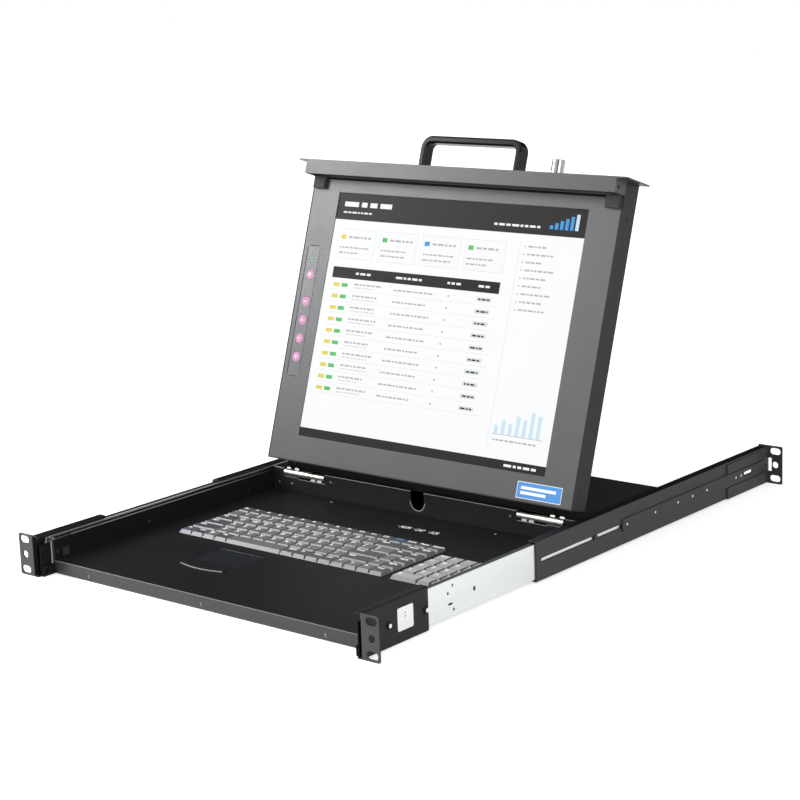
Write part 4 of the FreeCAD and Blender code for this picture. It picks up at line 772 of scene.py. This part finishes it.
def dress_frame(palette: Palette) -> None:
    """Give every node of the frame its finish, and some faces a second one, many of them painted light or
    shade.

    Args:
        palette: the finishes.
    """
    rim, wall, ear, web, bracket_screw = (part * MM for part in (16.0, 353.0, 222.0, 11.0, 200.0))
    flat, mostly, tilted, leaning = 0.9, 0.8, 0.3, 0.2
    for item in frame["record"]["subparts"]:
        palette.dress(item["node"], finish_of(item["node"], item["material_slot"]))
    # The cover's rounded front top edge in light grey: painted highlight.
    palette.trim("rear_cover", "edge_painted_highlight", lambda face: (
        face.center.z > rim and face.normal.y < -leaning and face.normal.z > leaning))
    # Sides of the bracket screws in black: painted shade round their bright tops.
    palette.trim("rail_screws", "fixing_black", lambda face: abs(face.normal.x) < flat)
    palette.trim("rail_screws", "powder_sleeve", lambda face: face.center.y > bracket_screw)
    # The step wall's front faces and the cover's top behind it a little lighter: painted light.
    palette.trim("rear_cover", "powder_wall_painted_light", lambda face: (
        face.normal.y < -flat or (face.normal.z > flat and face.center.y > wall)))
    # The deck's front lip in the lighter front coat: painted light.
    palette.trim("deck_plate", "powder_front_and_lit_faces", lambda face: face.normal.y < -flat)
    for side in ("_right", "_left"):
        palette.trim("touch_button" + side, "edge_bright", lambda face: face.normal.y < -tilted)
        # Front faces of the bracket ears in the lighter front coat: painted light.
        palette.trim("front_bracket" + side, "powder_front_and_lit_faces",
                     lambda face: face.normal.y < -flat and abs(face.center.x) > ear)
        # Top faces of the brackets and sleeves darker: painted shade.
        for node in ("front_bracket", "rear_sleeve"):
            palette.trim(node + side, "powder_top_painted_shade", lambda face: face.normal.z > mostly)
        # The inner rail's web in the sleeve's dark paint: painted shade inside the slide.
        palette.trim("slide_inner" + side, "powder_sleeve",
                     lambda face: abs(face.normal.x) > flat and abs(face.center.z) < web)
        # Tops of the ball cages near black: painted shade.
        for node in ("ball_cage_outer", "ball_cage_inner"):
            palette.trim(node + side, "zinc_top_painted_shade", lambda face: face.normal.z > leaning)
        # Tops of the rails near black as painted shade, their front faces pale as painted highlight.
        for node in ("slide_outer", "slide_middle", "slide_inner"):
            palette.trim(node + side, "zinc_top_painted_shade", lambda face: face.normal.z > mostly)
            palette.trim(node + side, "zinc_painted_highlight", lambda face: face.normal.y < -mostly)


# ---- The raised lid ----
class LidSpace:
    """Turns places on the shut lid into places in the frame, where the lid is raised."""

    def __init__(self) -> None:
        """Take the hinge line and the raised angle from the frame."""
        self.pivot = Vector(HINGE["pos_m"])
        self.turn = Matrix.Rotation(-math.radians(max(HINGE["range_deg"])), 3, "X")

    def raised(self, point: Vector) -> Vector:
        """Place in the frame of a point of the shut lid."""
        return self.pivot + self.turn @ (point - self.pivot)

    def shut_box(self, node: str) -> tuple[Vector, Vector]:
        """Corners of one of the lid's nodes when the lid is shut.

        Args:
            node: the node's name.

        Returns:
            Its lowest and highest corner, in metres.
        """
        back = self.turn.inverted()
        corners = frame["nodes"][node].data.vertices
        points = [self.pivot + back @ (corner.co - self.pivot) for corner in corners]
        low = Vector(tuple(min(point[axis] for point in points) for axis in range(3)))
        high = Vector(tuple(max(point[axis] for point in points) for axis in range(3)))
        return low, high

    def inner_plane(self, x: float, y: float, z: float) -> Plane:
        """Plane on the lid's inner side through a place on the shut lid, up to its free edge."""
        return Plane(self.raised(Vector((x, y, z))), RIGHT, self.turn @ Vector((0, -1, 0)))

    def sheet(self, node: str) -> tuple[Print, float, float]:
        """Marks on the whole inner face of one of the lid's nodes.

        Args:
            node: the node's name.

        Returns:
            The marks, from the face's corner at the hinge side, and its width and height in mm.
        """
        low, high = self.shut_box(node)
        marks = Print(self.inner_plane(low.x, high.y, low.z))
        return marks, (high.x - low.x) / MM, (high.y - low.y) / MM


# ---- Keyboard ----
class KeyTone(Enum):
    """Finishes that the key caps come in, and the one tone of all their sides, lighter than most caps as a
    painted highlight.
    """

    LETTER = "key_letter"
    PAD = "key_pad"
    FUNCTION = "key_function"
    SPACE = "key_space"
    BLUE = "key_blue"
    SIDE = "key_side"


@dataclass
class Keyboard:
    """Key caps with their tones and legends. Sizes are in millimetres."""

    palette: Palette
    inset: float = 1.4
    tall: float = 5.4
    small: float = 3.3
    weight: float = 0.24
    top_band: float = 0.05
    row_step: float = 4.0
    flat: float = 0.9
    blue_legend: str = "PrtSc"
    rows: tuple[tuple[str, ...], ...] = (
        ("Fn", "Ctrl", "#", "Alt", "", "AltGr", "Fn", "Menu", "Ctrl", "<", "v", ">", "End"),
        ("Shift", "Z", "X", "C", "V", "B", "N", "M", ",", ".", "/", "Shift", "^", "PgDn"),
        ("Caps", "A", "S", "D", "F", "G", "H", "J", "K", "L", ";", "Enter", "'", "PgUp"),
        ("Tab", "Q", "W", "E", "R", "T", "Y", "U", "I", "O", "P", "[", "]", "Ins", "Del"),
        ("`", "1", "2", "3", "4", "5", "6", "7", "8", "9", "0", "-", "Back", "Home", "PgUp"),
        ("Esc", "F1", "F2", "F3", "F4", "F5", "F6", "F7", "F8", "F9", "F10", "F11", "F12", "PrtSc",
         "ScrLk", "Pause", "NumLk"),
    )
    pad: tuple[str, ...] = ("0", ".", "Enter", "1", "2", "3", "Enter", "4", "5", "6", "+",
                            "7", "8", "9", "Home", "Num", "/", "*", "-")

    def islands(self, node: str) -> list[list[int]]:
        """Separate caps of a node.

        Args:
            node: a node that holds keys.

        Returns:
            The face numbers of each cap.
        """
        mesh = bmesh.new()
        mesh.from_mesh(frame["nodes"][node].data)
        bmesh.ops.remove_doubles(mesh, verts=mesh.verts, dist=1e-6)
        seen: set[int] = set()
        groups = []
        for start in mesh.faces:
            if start.index in seen:
                continue
            group, queue = [], [start]
            seen.add(start.index)
            while queue:
                face = queue.pop()
                group.append(face.index)
                for other in (near for edge in face.edges for near in edge.link_faces):
                    if other.index not in seen:
                        seen.add(other.index)
                        queue.append(other)
            groups.append(group)
        mesh.free()
        return groups

    def caps(self, node: str) -> list[tuple[Vector, Vector, list[int]]]:
        """Caps of a node, from the front row's left end on.

        Args:
            node: a node that holds keys.

        Returns:
            For each cap the low and high corner of its top and its face numbers.
        """
        data = frame["nodes"][node].data
        found = []
        for group in self.islands(node):
            points = [data.vertices[v].co for f in group for v in data.polygons[f].vertices]
            height = max(point.z for point in points)
            top = [point for point in points if point.z > height - self.top_band * MM]
            low = Vector((min(p.x for p in top), min(p.y for p in top), height))
            high = Vector((max(p.x for p in top), max(p.y for p in top), height))
            found.append((low, high, group))
        return sorted(found, key=lambda cap: (round(cap[0].y / MM / self.row_step), cap[0].x))

    def row_tones(self, row: Sequence[str], front: bool) -> list[KeyTone]:
        """Tones of a row of keys.

        Args:
            row: what is printed on its keys.
            front: whether it is the front row, whose first key is blue.

        Returns:
            The tone of each key.
        """
        tones = [KeyTone.LETTER if len(text) == 1 else KeyTone.FUNCTION if text else KeyTone.SPACE
                 for text in row]
        return [KeyTone.BLUE, *tones[1:]] if front else tones

    def dress(self, node: str, texts: Sequence[str], tones: Sequence[KeyTone]) -> None:
        """Tone and print every key of a node.

        Args:
            node: the node's name.
            texts: the legends, from the front row's left end on.
            tones: the tones of the keys.
        """
        self.palette.dress(node, *(tone.value for tone in KeyTone))
        data = frame["nodes"][node].data
        caps = self.caps(node)
        surface = Plane(caps[0][0].copy(), RIGHT, BACK)
        white, blue = Print(surface, self.weight), Print(surface, self.weight)
        for (low, high, group), text, tone in zip(caps, texts, tones):
            for face in (data.polygons[index] for index in group):
                # Side faces take the one lighter side tone: painted highlight.
                face.material_index = list(KeyTone).index(
                    tone if abs(face.normal.z) > self.flat else KeyTone.SIDE)
            height = self.tall if len(text) == 1 else self.small
            marks = blue if text == self.blue_legend else white
            if text:
                marks.words(text, (low.x - surface.origin.x) / MM + self.inset,
                            (high.y - surface.origin.y) / MM - self.inset - height, height)
        white.finish("legends_" + node, body_under(node), "keys_grey", self.palette.get("print_white"))
        if self.blue_legend in texts:
            blue.finish("legends_blue_" + node, body_under(node), "keys_grey",
                        self.palette.get("print_blue"))

    def build(self) -> None:
        """Dress all the rows and the number keys."""
        for index, row in enumerate(self.rows):
            self.dress(f"key_row_{index + 1}", row, self.row_tones(row, index == 0))
        self.dress("numpad_keys", self.pad, [KeyTone.PAD] * len(self.pad))


# ---- Screen ----
@dataclass
class ScreenPicture:
    """A plain status page shown on the screen, made of lit bars and spots, in millimetres."""

    palette: Palette
    space: LidSpace
    hidden: float = 4.0
    header: float = 30.2
    footer: float = 10.0
    lift: float = 0.02
    margin: float = 9.0
    menu_wide: float = 74.0
    table_wide: float = 234.0
    line: float = 1.8
    word_sizes: tuple[float, ...] = (1.9, 3.1, 2.4, 3.8, 1.5)
    word_gap: float = 0.8
    tones: tuple[str, ...] = ("dark", "black", "grey", "faint", "pale", "light", "yellow", "green", "blue")

    def build(self) -> None:
        """Lay out the page."""
        low, high = self.space.shut_box("lcd_panel")
        plane = self.space.inner_plane(0.0, high.y - self.hidden * MM, low.z)
        self.half = (high.x - low.x) / 2 / MM - self.hidden
        self.tall = (high.y - low.y) / MM - 2 * self.hidden
        self.under = self.tall - self.header
        self.sheets = {tone: Print(plane) for tone in self.tones}
        self.bands()
        self.cards()
        self.menu()
        self.chart()
        self.table()
        for tone, marks in self.sheets.items():
            marks.finish("screen_" + tone, Body.LID, "screen", self.palette.get("page_" + tone))

    def bar(self, tone: str, x: float, y: float, width: float, height: float, level: int = 1) -> None:
        """Bar of a tone, some layers above the page."""
        self.sheets[tone].bar(x, y, width, height, level * self.lift)

    def text(self, tone: str, x: float, y: float, length: float, height: float, level: int = 1) -> None:
        """A line of unreadable text: short bars like words.

        Args:
            tone: its colour.
            x: its left end.
            y: its base line.
            length: its length.
            height: height of its letters.
            level: how many layers it lies above the page.
        """
        spot, word = 0.0, 0
        while spot < length - height:
            share = self.word_sizes[(word + int(x) + int(y)) % len(self.word_sizes)]
            size = min(length - spot, height * share)
            self.bar(tone, x + spot, y, size, height, level)
            spot += size + height * self.word_gap
            word += 1

    def bands(self) -> None:
        """Header and footer bands with lines of text and a row of rising bars."""
        left, wide = -self.half, 2 * self.half
        self.bar("dark", left, self.under, wide, self.header)
        self.bar("dark", left, 0, wide, self.footer)
        self.text("light", left + 10, self.under + 15, 76, 5.4, 2)
        self.text("light", left + 10, self.under + 7.5, 44, self.line, 2)
        step, thick, lowest, growth, count = 6.4, 4.2, 4.0, 2.6, 6
        for index in range(count):
            tone = "pale" if index == count - 1 else "blue"
            self.bar(tone, self.half - 46 + step * index, self.under + 7, thick, lowest + growth * index, 2)
        self.text("light", self.half - 118, self.under + 7, 60, 2.4, 2)
        self.text("light", self.half - 54, 3.6, 44, 2.6, 2)

    def cards(self) -> None:
        """Four small cards with a coloured square and lines of text."""
        wide, tall, step, rim = 54.0, 34.0, 60.0, 0.5
        base = self.under - 44
        for index, tone in enumerate(("yellow", "green", "blue", "green")):
            x = -self.half + self.margin + step * index
            self.bar("faint", x, base, wide, tall)
            self.bar("light", x + rim, base + rim, wide - 2 * rim, tall - 2 * rim, 2)
            self.bar(tone, x + 4, base + 22, 7, 5, 3)
            self.text("grey", x + 15, base + 23.5, 32, 2.2, 3)
            self.text("grey", x + 4, base + 12, 42 - 6 * (index % 2), 1.7, 3)
            self.text("grey", x + 4, base + 6, 30 + 5 * (index % 3), 1.7, 3)

    def menu(self) -> None:
        """Column of menu lines at the right."""
        left, step, dot = self.half - self.menu_wide, 8.4, 1.6
        self.bar("faint", left - 6, self.footer + 8, 0.5, self.under - self.footer - 16)
        for index, length in enumerate((26, 34, 21, 40, 30, 24, 37, 28, 33)):
            y = self.under - 14 - index * step
            self.bar("grey", left, y, dot, dot)
            self.text("grey", left + 5, y, length, self.line)

    def chart(self) -> None:
        """Bar chart under the menu."""
        left, base, step, thick, axis = self.half - self.menu_wide, self.footer + 26, 9, 5, 0.6
        for index, height in enumerate((9, 15, 12, 21, 18, 27, 24)):
            self.bar("pale", left + step * index, base, thick, height)
        self.bar("grey", left - 2, base - axis, 66, axis)
        self.text("grey", left, base - 7, 56, self.line)

    def table(self) -> None:
        """Table of readings with a black heading and coloured tags before each row."""
        left, top, step, tag = -self.half + self.margin, self.under - 66, 13.0, (9.0, 4.2)
        self.bar("black", left, top, self.table_wide, 12.5)
        for x, length in ((34, 34), (92, 52), (164, 26), (206, 22)):
            self.text("light", left + x, top + 5.2, length * 0.7, 2.4, 2)
        for row in range(10):
            y = top - 5 - row * step
            self.bar("faint", left, y - 8.4, self.table_wide, 0.35)
            self.bar("yellow", left + 4, y - 4.6, *tag)
            self.bar("green", left + 16, y - 4.6, *tag)
            self.text("grey", left + 34, y - 1.6, 42 - 4 * (row % 3), 1.9)
            self.text("faint", left + 34, y - 5.4, 30 + 3 * (row % 4), 1.7)
            self.text("grey", left + 92, y - 3.4, 54 - 5 * (row % 2), self.line)
            self.sheets["grey"].disc(left + 168, y - 2.6, 1.2, 12, self.lift)
            self.bar("faint", left + 206, y - 4.8, 20, 4.6)
            self.text("black", left + 208.5, y - 3.4, 15, 1.7, 2)


# ---- Small things ----
@dataclass
class Details:
    """Marks and small pieces that the construction frame leaves out. Sizes are in millimetres."""

    palette: Palette
    space: LidSpace
    step_wall: float = 350.0
    deck_top: float = -7.8
    cover_top: float = 18.0

    def build(self) -> None:
        """Add them all."""
        for side in Side:
            self.hinge_lugs(side)
            self.bracket_screws(side)
            self.strip_rivets(side)
            self.rail_holes(side)
            self.wall_edge_highlights(side)
        self.deck_marks()
        self.label_marks()
        self.key_glyphs()
        self.badge_marks()
        self.cover_seam()
        self.notch_rim_highlight()
        self.strip_outline()
        self.lip_edge_highlight()
        self.flange_shadow()

    def hinge_lugs(self, side: Side) -> None:
        """Two lugs under a hinge's fixed knuckle, pale as a painted highlight.

        Args:
            side: the side of the drawer.
        """
        y, z, depth = 351.2, 9.0, -0.9
        form = Form()
        for x in (142.2, 151.6):
            corners = ((-3.2, -1.2), (3.2, -1.2), (2.8, 1.3), (-2.8, 1.3))
            outline = [Vector((side.value * x + a, y, z + b)) * MM for a, b in corners]
            form.prism(outline, Vector((0, depth * MM, 0)))
        form.finish("hinge_lugs_" + side.word, Body.DRAWER, "nickel", self.palette.get("zinc_painted_highlight"))

    def bracket_screws(self, side: Side) -> None:
        """Dark washers under the bracket screws, with painted shade round their domed heads.

        Args:
            side: the side of the drawer.
        """
        radius = 4.0
        marks = Print(side_plane(side, 222.0))
        for y in (36.0, 89.0):
            marks.disc(side.value * y, 0.0, radius, sides=28)
        marks.finish("screw_washer_shade_" + side.word, Body.RACK, "black_screws", self.palette.get("dark_gap_and_painted_shade"))

    def strip_rivets(self, side: Side) -> None:
        """Bright rivets in the holes of a depth-setting strip.

        Args:
            side: the side of the drawer.
        """
        radius = 1.35
        marks = Print(side_plane(side, 222.3), thickness=0.9)
        for y in (420.6, 474.1, 518.4, 547.7, 577.0, 638.4, 649.4):
            marks.disc(side.value * y, 0.0, radius)
        marks.finish("strip_rivets_" + side.word, body_under("adjust_strip_" + side.word), "zinc_steel",
                     self.palette.get("steel_bright"))

    def rail_holes(self, side: Side) -> None:
        """Painted shade in the stamped holes and the slot of an outer rail.

        Args:
            side: the side of the drawer.
        """
        marks = Print(side_plane(side, 219.4))
        small, large = 1.45, 2.15
        for y, z, radius in ((131.3, 12.1, small), (132.5, -11.8, small), (124.1, 5.7, small),
                             (164.3, 0.0, large)):
            marks.disc(side.value * y, z, radius)
        middle, base, wide, tall = 127.6, -6.35, 4.8, 1.9
        marks.bar(side.value * middle - wide / 2, base, wide, tall)
        marks.finish("rail_hole_shade_" + side.word, Body.RACK, "zinc_steel", self.palette.get("dark_gap_and_painted_shade"))

    def wall_edge_highlights(self, side: Side) -> None:
        """Painted highlights along the top edges of a hinge recess in the step wall.

        Args:
            side: the side of the drawer.
        """
        marks, line = Print(front_plane(self.step_wall)), 0.9
        for x0, x1, top in ((133.4, 172.0, 7.8), (172.0, 194.2, 9.1)):
            marks.bar(min(side.value * x0, side.value * x1), top - line, x1 - x0, line)
        marks.finish("recess_edge_highlight_" + side.word, Body.DRAWER, "black_steel", self.palette.get("edge_painted_highlight"))

    def notch_rim_highlight(self) -> None:
        """Painted highlight round the rim of the cable notch."""
        marks = Print(front_plane(self.step_wall))
        inner, outer, centre, steps = 9.2, 10.5, 6.7, 20
        turns = [math.pi * (1 + index / steps) for index in range(steps + 1)]
        for first, second in zip(turns, turns[1:]):
            corners = ((inner, first), (outer, first), (outer, second), (inner, second))
            marks.patch([(radius * math.cos(turn), centre + radius * math.sin(turn))
                         for radius, turn in corners])
        marks.finish("notch_rim_highlight", Body.DRAWER, "black_steel", self.palette.get("edge_painted_highlight"))

    def lip_edge_highlight(self) -> None:
        """Painted highlight along the upper edge of the deck's front lip."""
        lip, slack, tall = 19.5, 0.2, 0.7
        corners = [vertex.co for vertex in frame["nodes"]["deck_plate"].data.vertices]
        row = [corner.x / MM for corner in corners if corner.y < (lip + slack) * MM]
        marks = Print(front_plane(lip))
        marks.bar(min(row), self.deck_top - tall, max(row) - min(row), tall)
        marks.finish("lip_edge_highlight", Body.DRAWER, "black_steel", self.palette.get("edge_painted_highlight"))

    def flange_shadow(self) -> None:
        """Painted shadow on the bezel along the edge of the front panel's flange."""
        end, tall = 14.6, 2.4
        low, high = self.space.shut_box("lcd_bezel")
        marks = Print(self.space.inner_plane(low.x, (end + tall) * MM, low.z))
        marks.bar(0, 0, (high.x - low.x) / MM, tall)
        marks.finish("flange_shadow", Body.LID, "bezel_paint", self.palette.get("dark_gap_and_painted_shade"))

    def strip_outline(self) -> None:
        """Dark line round the control strip."""
        marks, wide, tall = self.space.sheet("osd_strip")
        line, round_off = 0.6, 3.0
        for x in (0.0, wide - line):
            marks.bar(x, round_off, line, tall - 2 * round_off)
        for y in (0.0, tall - line):
            marks.bar(round_off, y, wide - 2 * round_off, line)
        marks.finish("strip_outline", Body.LID, "strip_black", self.palette.get("dark_gap_and_painted_shade"))

    def deck_marks(self) -> None:
        """Names of the three indicator lamps."""
        base, height, narrow = 303.4, 7.0, 0.62
        marks = Print(top_plane(self.deck_top), weight=0.14)
        for x, word in ((11.6, "NUM"), (32.2, "CAP"), (52.4, "SCR")):
            marks.words(word, x, base, height, narrow)
        marks.finish("lamp_names", Body.DRAWER, "label_white", self.palette.get("print_white"))

    def label_marks(self) -> None:
        """Two grey dots and faint lines on the label."""
        surface = side_plane(Side.RIGHT, 222.15, 48.6, -10.0)
        dots, lines = Print(surface), Print(surface)
        across, radius = 11.0, 0.85
        for y in (12.6, 16.0):
            dots.disc(across, y, radius)
        inset, lowest, step, longest, shorter, thick = 4.0, 3.2, 2.4, 14.0, 2.0, 0.25
        for index in range(3):
            lines.bar(inset, lowest + step * index, longest - shorter * index, thick)
        dots.finish("label_dots", Body.RACK, "label_white", self.palette.get("print_grey"))
        lines.finish("label_lines", Body.RACK, "label_white", self.palette.get("label_line"))

    def key_glyphs(self) -> None:
        """White signs on the lit control keys."""
        reach, line, crossing = 2.4, 1.4, 0.04
        for index, sign in enumerate(("ring", "minus", "up", "down", "plus")):
            node = f"osd_key_{index + 1}"
            low, high = self.space.shut_box(node)
            middle = (low + high) / 2
            marks = Print(self.space.inner_plane(middle.x, middle.y, low.z))
            if sign == "ring":
                marks.disc(0, 0, reach, sides=24)
            if sign in ("minus", "plus"):
                marks.bar(-reach, -line / 2, 2 * reach, line)
            if sign == "plus":
                marks.bar(-line / 2, -reach, line, 2 * reach, crossing)
            if sign in ("up", "down"):
                half, foot = 2.2, 0.6
                tip = half if sign == "up" else -half
                marks.patch(((-half, -tip * foot), (half, -tip * foot), (0, tip)))
            marks.finish("sign_" + node, body_under(node), "osd_pink", self.palette.get("key_core"))

    def badge_marks(self) -> None:
        """Plain white frame and two bars on the blue badge."""
        marks, wide, tall = self.space.sheet("badge")
        inset, thick, line, lift = 5.0, 3.2, 0.7, 0.04
        for y, length in ((9.6, 44.0), (4.4, 32.0)):
            marks.bar(inset, y, length, thick)
        for y in (0, tall - line):
            marks.bar(0, y, wide, line, lift)
        for x in (0, wide - line):
            marks.bar(x, line, line, tall - 2 * line, lift)
        marks.finish("badge_marks", Body.LID, "badge_blue", self.palette.get("print_white"))

    def cover_seam(self) -> None:
        """Dark seams between the rear cover and the tray walls."""
        middle, line, front, length = 204.2, 0.8, 353.0, 150.0
        marks = Print(top_plane(self.cover_top))
        for sign in (-1, 1):
            marks.bar(sign * middle - line / 2, front, line, length)
        marks.finish("cover_seams", Body.DRAWER, "black_steel", self.palette.get("dark_gap_and_painted_shade"))


# ---- Studio ----
@dataclass
class Studio:
    """Floor, lamps, background and camera. Places and sizes are in metres, angles in degrees."""

    place: Point = (1.3830, -1.3163, 0.6131)
    azimuth: float = 40.08
    elevation: float = 12.82
    roll: float = -2.11
    lens: float = 93.78
    nearest: float = 0.05
    floor_size: float = 14.0
    paper: float = 0.8
    cloth: float = 0.03
    glow_near: tuple[float, float] = (0.9, 0.55)
    glow_far: tuple[float, float] = (2.6, 1.0)
    ambient: float = 0.4

    def build(self) -> None:
        """Set everything up."""
        bpy.context.scene.view_settings.view_transform = "Standard"
        self.floor()
        self.world()
        self.lamp("softbox", (-1.25, -0.35, 0.95), (0.0, 0.42, 0.2), 0.75, 24.0)
        self.lamp("overhead", (0.3, -0.2, 2.3), (0.0, 0.3, 0.0), 1.8, 12.0)
        self.lamp("front", (-0.5, -2.2, 0.7), (0.0, 0.2, 0.0), 1.2, 14.0)
        self.lamp("fill", (2.0, -0.7, 0.7), (0.1, 0.2, 0.05), 1.2, 22.0)
        black = new_material("flag_cloth", lambda tree: self.matt(tree, self.cloth))
        self.flag("flag_behind", (-2.0, 2.9, 1.75), 7.5, 3.6, black)
        self.flag("flag_right", (1.8, -1.2, 1.25), 2.6, 1.3, black)
        self.camera()

    def matt(self, tree: Tree, level: float) -> Socket:
        """Plain matt surface of a grey level."""
        return tree.add("ShaderNodeBsdfDiffuse", {"Color": rgba(grey(level))}).outputs[0]

    def card(self, name: str, corners: Sequence[Sequence[float]], material: Material) -> bpy.types.Object:
        """Add a flat card that isn't part of the drawer.

        Args:
            name: its name.
            corners: its four corners, in order.
            material: its surface.

        Returns:
            The card.
        """
        data = bpy.data.meshes.new(name)
        data.from_pydata([tuple(corner) for corner in corners], [], [(0, 1, 2, 3)])
        data.materials.append(material)
        card = bpy.data.objects.new(name, data)
        bpy.context.scene.collection.objects.link(card)
        return card

    def floor(self) -> None:
        """White floor at the drawer's lowest point that keeps the soft shadow."""
        half, level = self.floor_size / 2, CAD_BOX[0][2]
        corners = [(x * half, y * half, level) for x, y in ((-1, -1), (1, -1), (1, 1), (-1, 1))]
        self.card("floor", corners, new_material("floor_white", self.floor_shade))

    def floor_shade(self, tree: Tree) -> Socket:
        """White paper that looks lit away from the drawer.

        Args:
            tree: the floor's tree.

        Returns:
            The surface's socket.
        """
        away = tree.add("ShaderNodeVectorMath", {0: tree.here()}, operation="LENGTH").outputs["Value"]
        far = tree.add("ShaderNodeMapRange", {
            "Value": away, "From Min": self.glow_near[0], "From Max": self.glow_far[0],
            "To Min": self.glow_near[1], "To Max": self.glow_far[1]}).outputs[0]
        strength = tree.math("MULTIPLY", self.seen(tree), far)
        glow = tree.add("ShaderNodeEmission", {"Color": rgba(grey(1.0)), "Strength": strength}).outputs[0]
        return tree.add("ShaderNodeAddShader", {0: self.matt(tree, self.paper), 1: glow}).outputs[0]

    def seen(self, tree: Tree) -> Socket:
        """1 for rays that look at the background, straight or in a reflection.

        Args:
            tree: the tree that asks.

        Returns:
            The value's socket.
        """
        rays = tree.add("ShaderNodeLightPath").outputs
        mirrored = tree.math("MAXIMUM", rays["Is Glossy Ray"], rays["Is Transmission Ray"])
        return tree.math("MAXIMUM", rays["Is Camera Ray"], mirrored)

    def world(self) -> None:
        """White background for the eye and for reflections, dim light for everything else."""
        world = bpy.data.worlds.new("background")
        world.use_nodes = True
        bpy.context.scene.world = world
        tree = Tree(world.node_tree)
        shown = tree.math("MULTIPLY", self.seen(tree), 1.0 - self.ambient)
        strength = tree.math("ADD", shown, self.ambient)
        sky = tree.add("ShaderNodeBackground", {"Color": rgba(grey(1.0)), "Strength": strength})
        tree.add("ShaderNodeOutputWorld", {"Surface": sky.outputs[0]})

    def flag(self, name: str, place: Point, wide: float, tall: float, black: Material) -> None:
        """Add a black studio flag that only shows in reflections.

        Args:
            name: its name.
            place: its middle.
            wide: its width.
            tall: its height.
            black: its cloth.
        """
        faced_depth = 0.3
        middle = Vector(place)
        across = Vector((middle.y - faced_depth, -middle.x, 0)).normalized() * (wide / 2)
        rise = Vector((0, 0, tall / 2))
        low, high = middle - rise, middle + rise
        card = self.card(name, (low - across, low + across, high + across, high - across), black)
        card.visible_camera = False
        card.visible_diffuse = False
        card.visible_transmission = False
        card.visible_shadow = False

    def lamp(self, name: str, place: Point, target: Point, size: float, power: float) -> None:
        """Add a square soft lamp.

        Args:
            name: its name.
            place: where it stands.
            target: what it points at.
            size: its side.
            power: its power in watts.
        """
        light = bpy.data.lights.new(name, "AREA")
        light.size = size
        light.energy = power
        holder = bpy.data.objects.new(name, light)
        holder.location = place
        aim = Vector(target) - Vector(place)
        holder.rotation_euler = aim.to_track_quat("-Z", "Y").to_euler()
        bpy.context.scene.collection.objects.link(holder)

    def camera(self) -> None:
        """Camera at the drawer's front right, slightly above."""
        a, e, r = (math.radians(angle) for angle in (self.azimuth, self.elevation, self.roll))
        back = Vector((math.sin(a) * math.cos(e), -math.cos(a) * math.cos(e), math.sin(e)))
        right = (-back).cross(UP).normalized()
        up = right.cross(-back)
        turned_right = right * math.cos(r) + up * math.sin(r)
        turned_up = up * math.cos(r) - right * math.sin(r)
        data = bpy.data.cameras.new("camera")
        data.lens = self.lens
        data.clip_start = self.nearest
        camera = bpy.data.objects.new("camera", data)
        turn = Matrix((turned_right, turned_up, back)).transposed().to_4x4()
        camera.matrix_world = Matrix.Translation(Vector(self.place)) @ turn
        bpy.context.scene.collection.objects.link(camera)
        bpy.context.scene.camera = camera


def main() -> None:
    """Dress the frame, add the scene's own pieces and set up the studio."""
    logging.basicConfig(level=logging.INFO, format="%(name)s: %(message)s")
    palette = Palette()
    dress_frame(palette)
    space = LidSpace()
    Keyboard(palette).build()
    ScreenPicture(palette, space).build()
    Details(palette, space).build()
    Studio().build()


if __name__ == "__main__":
    main()
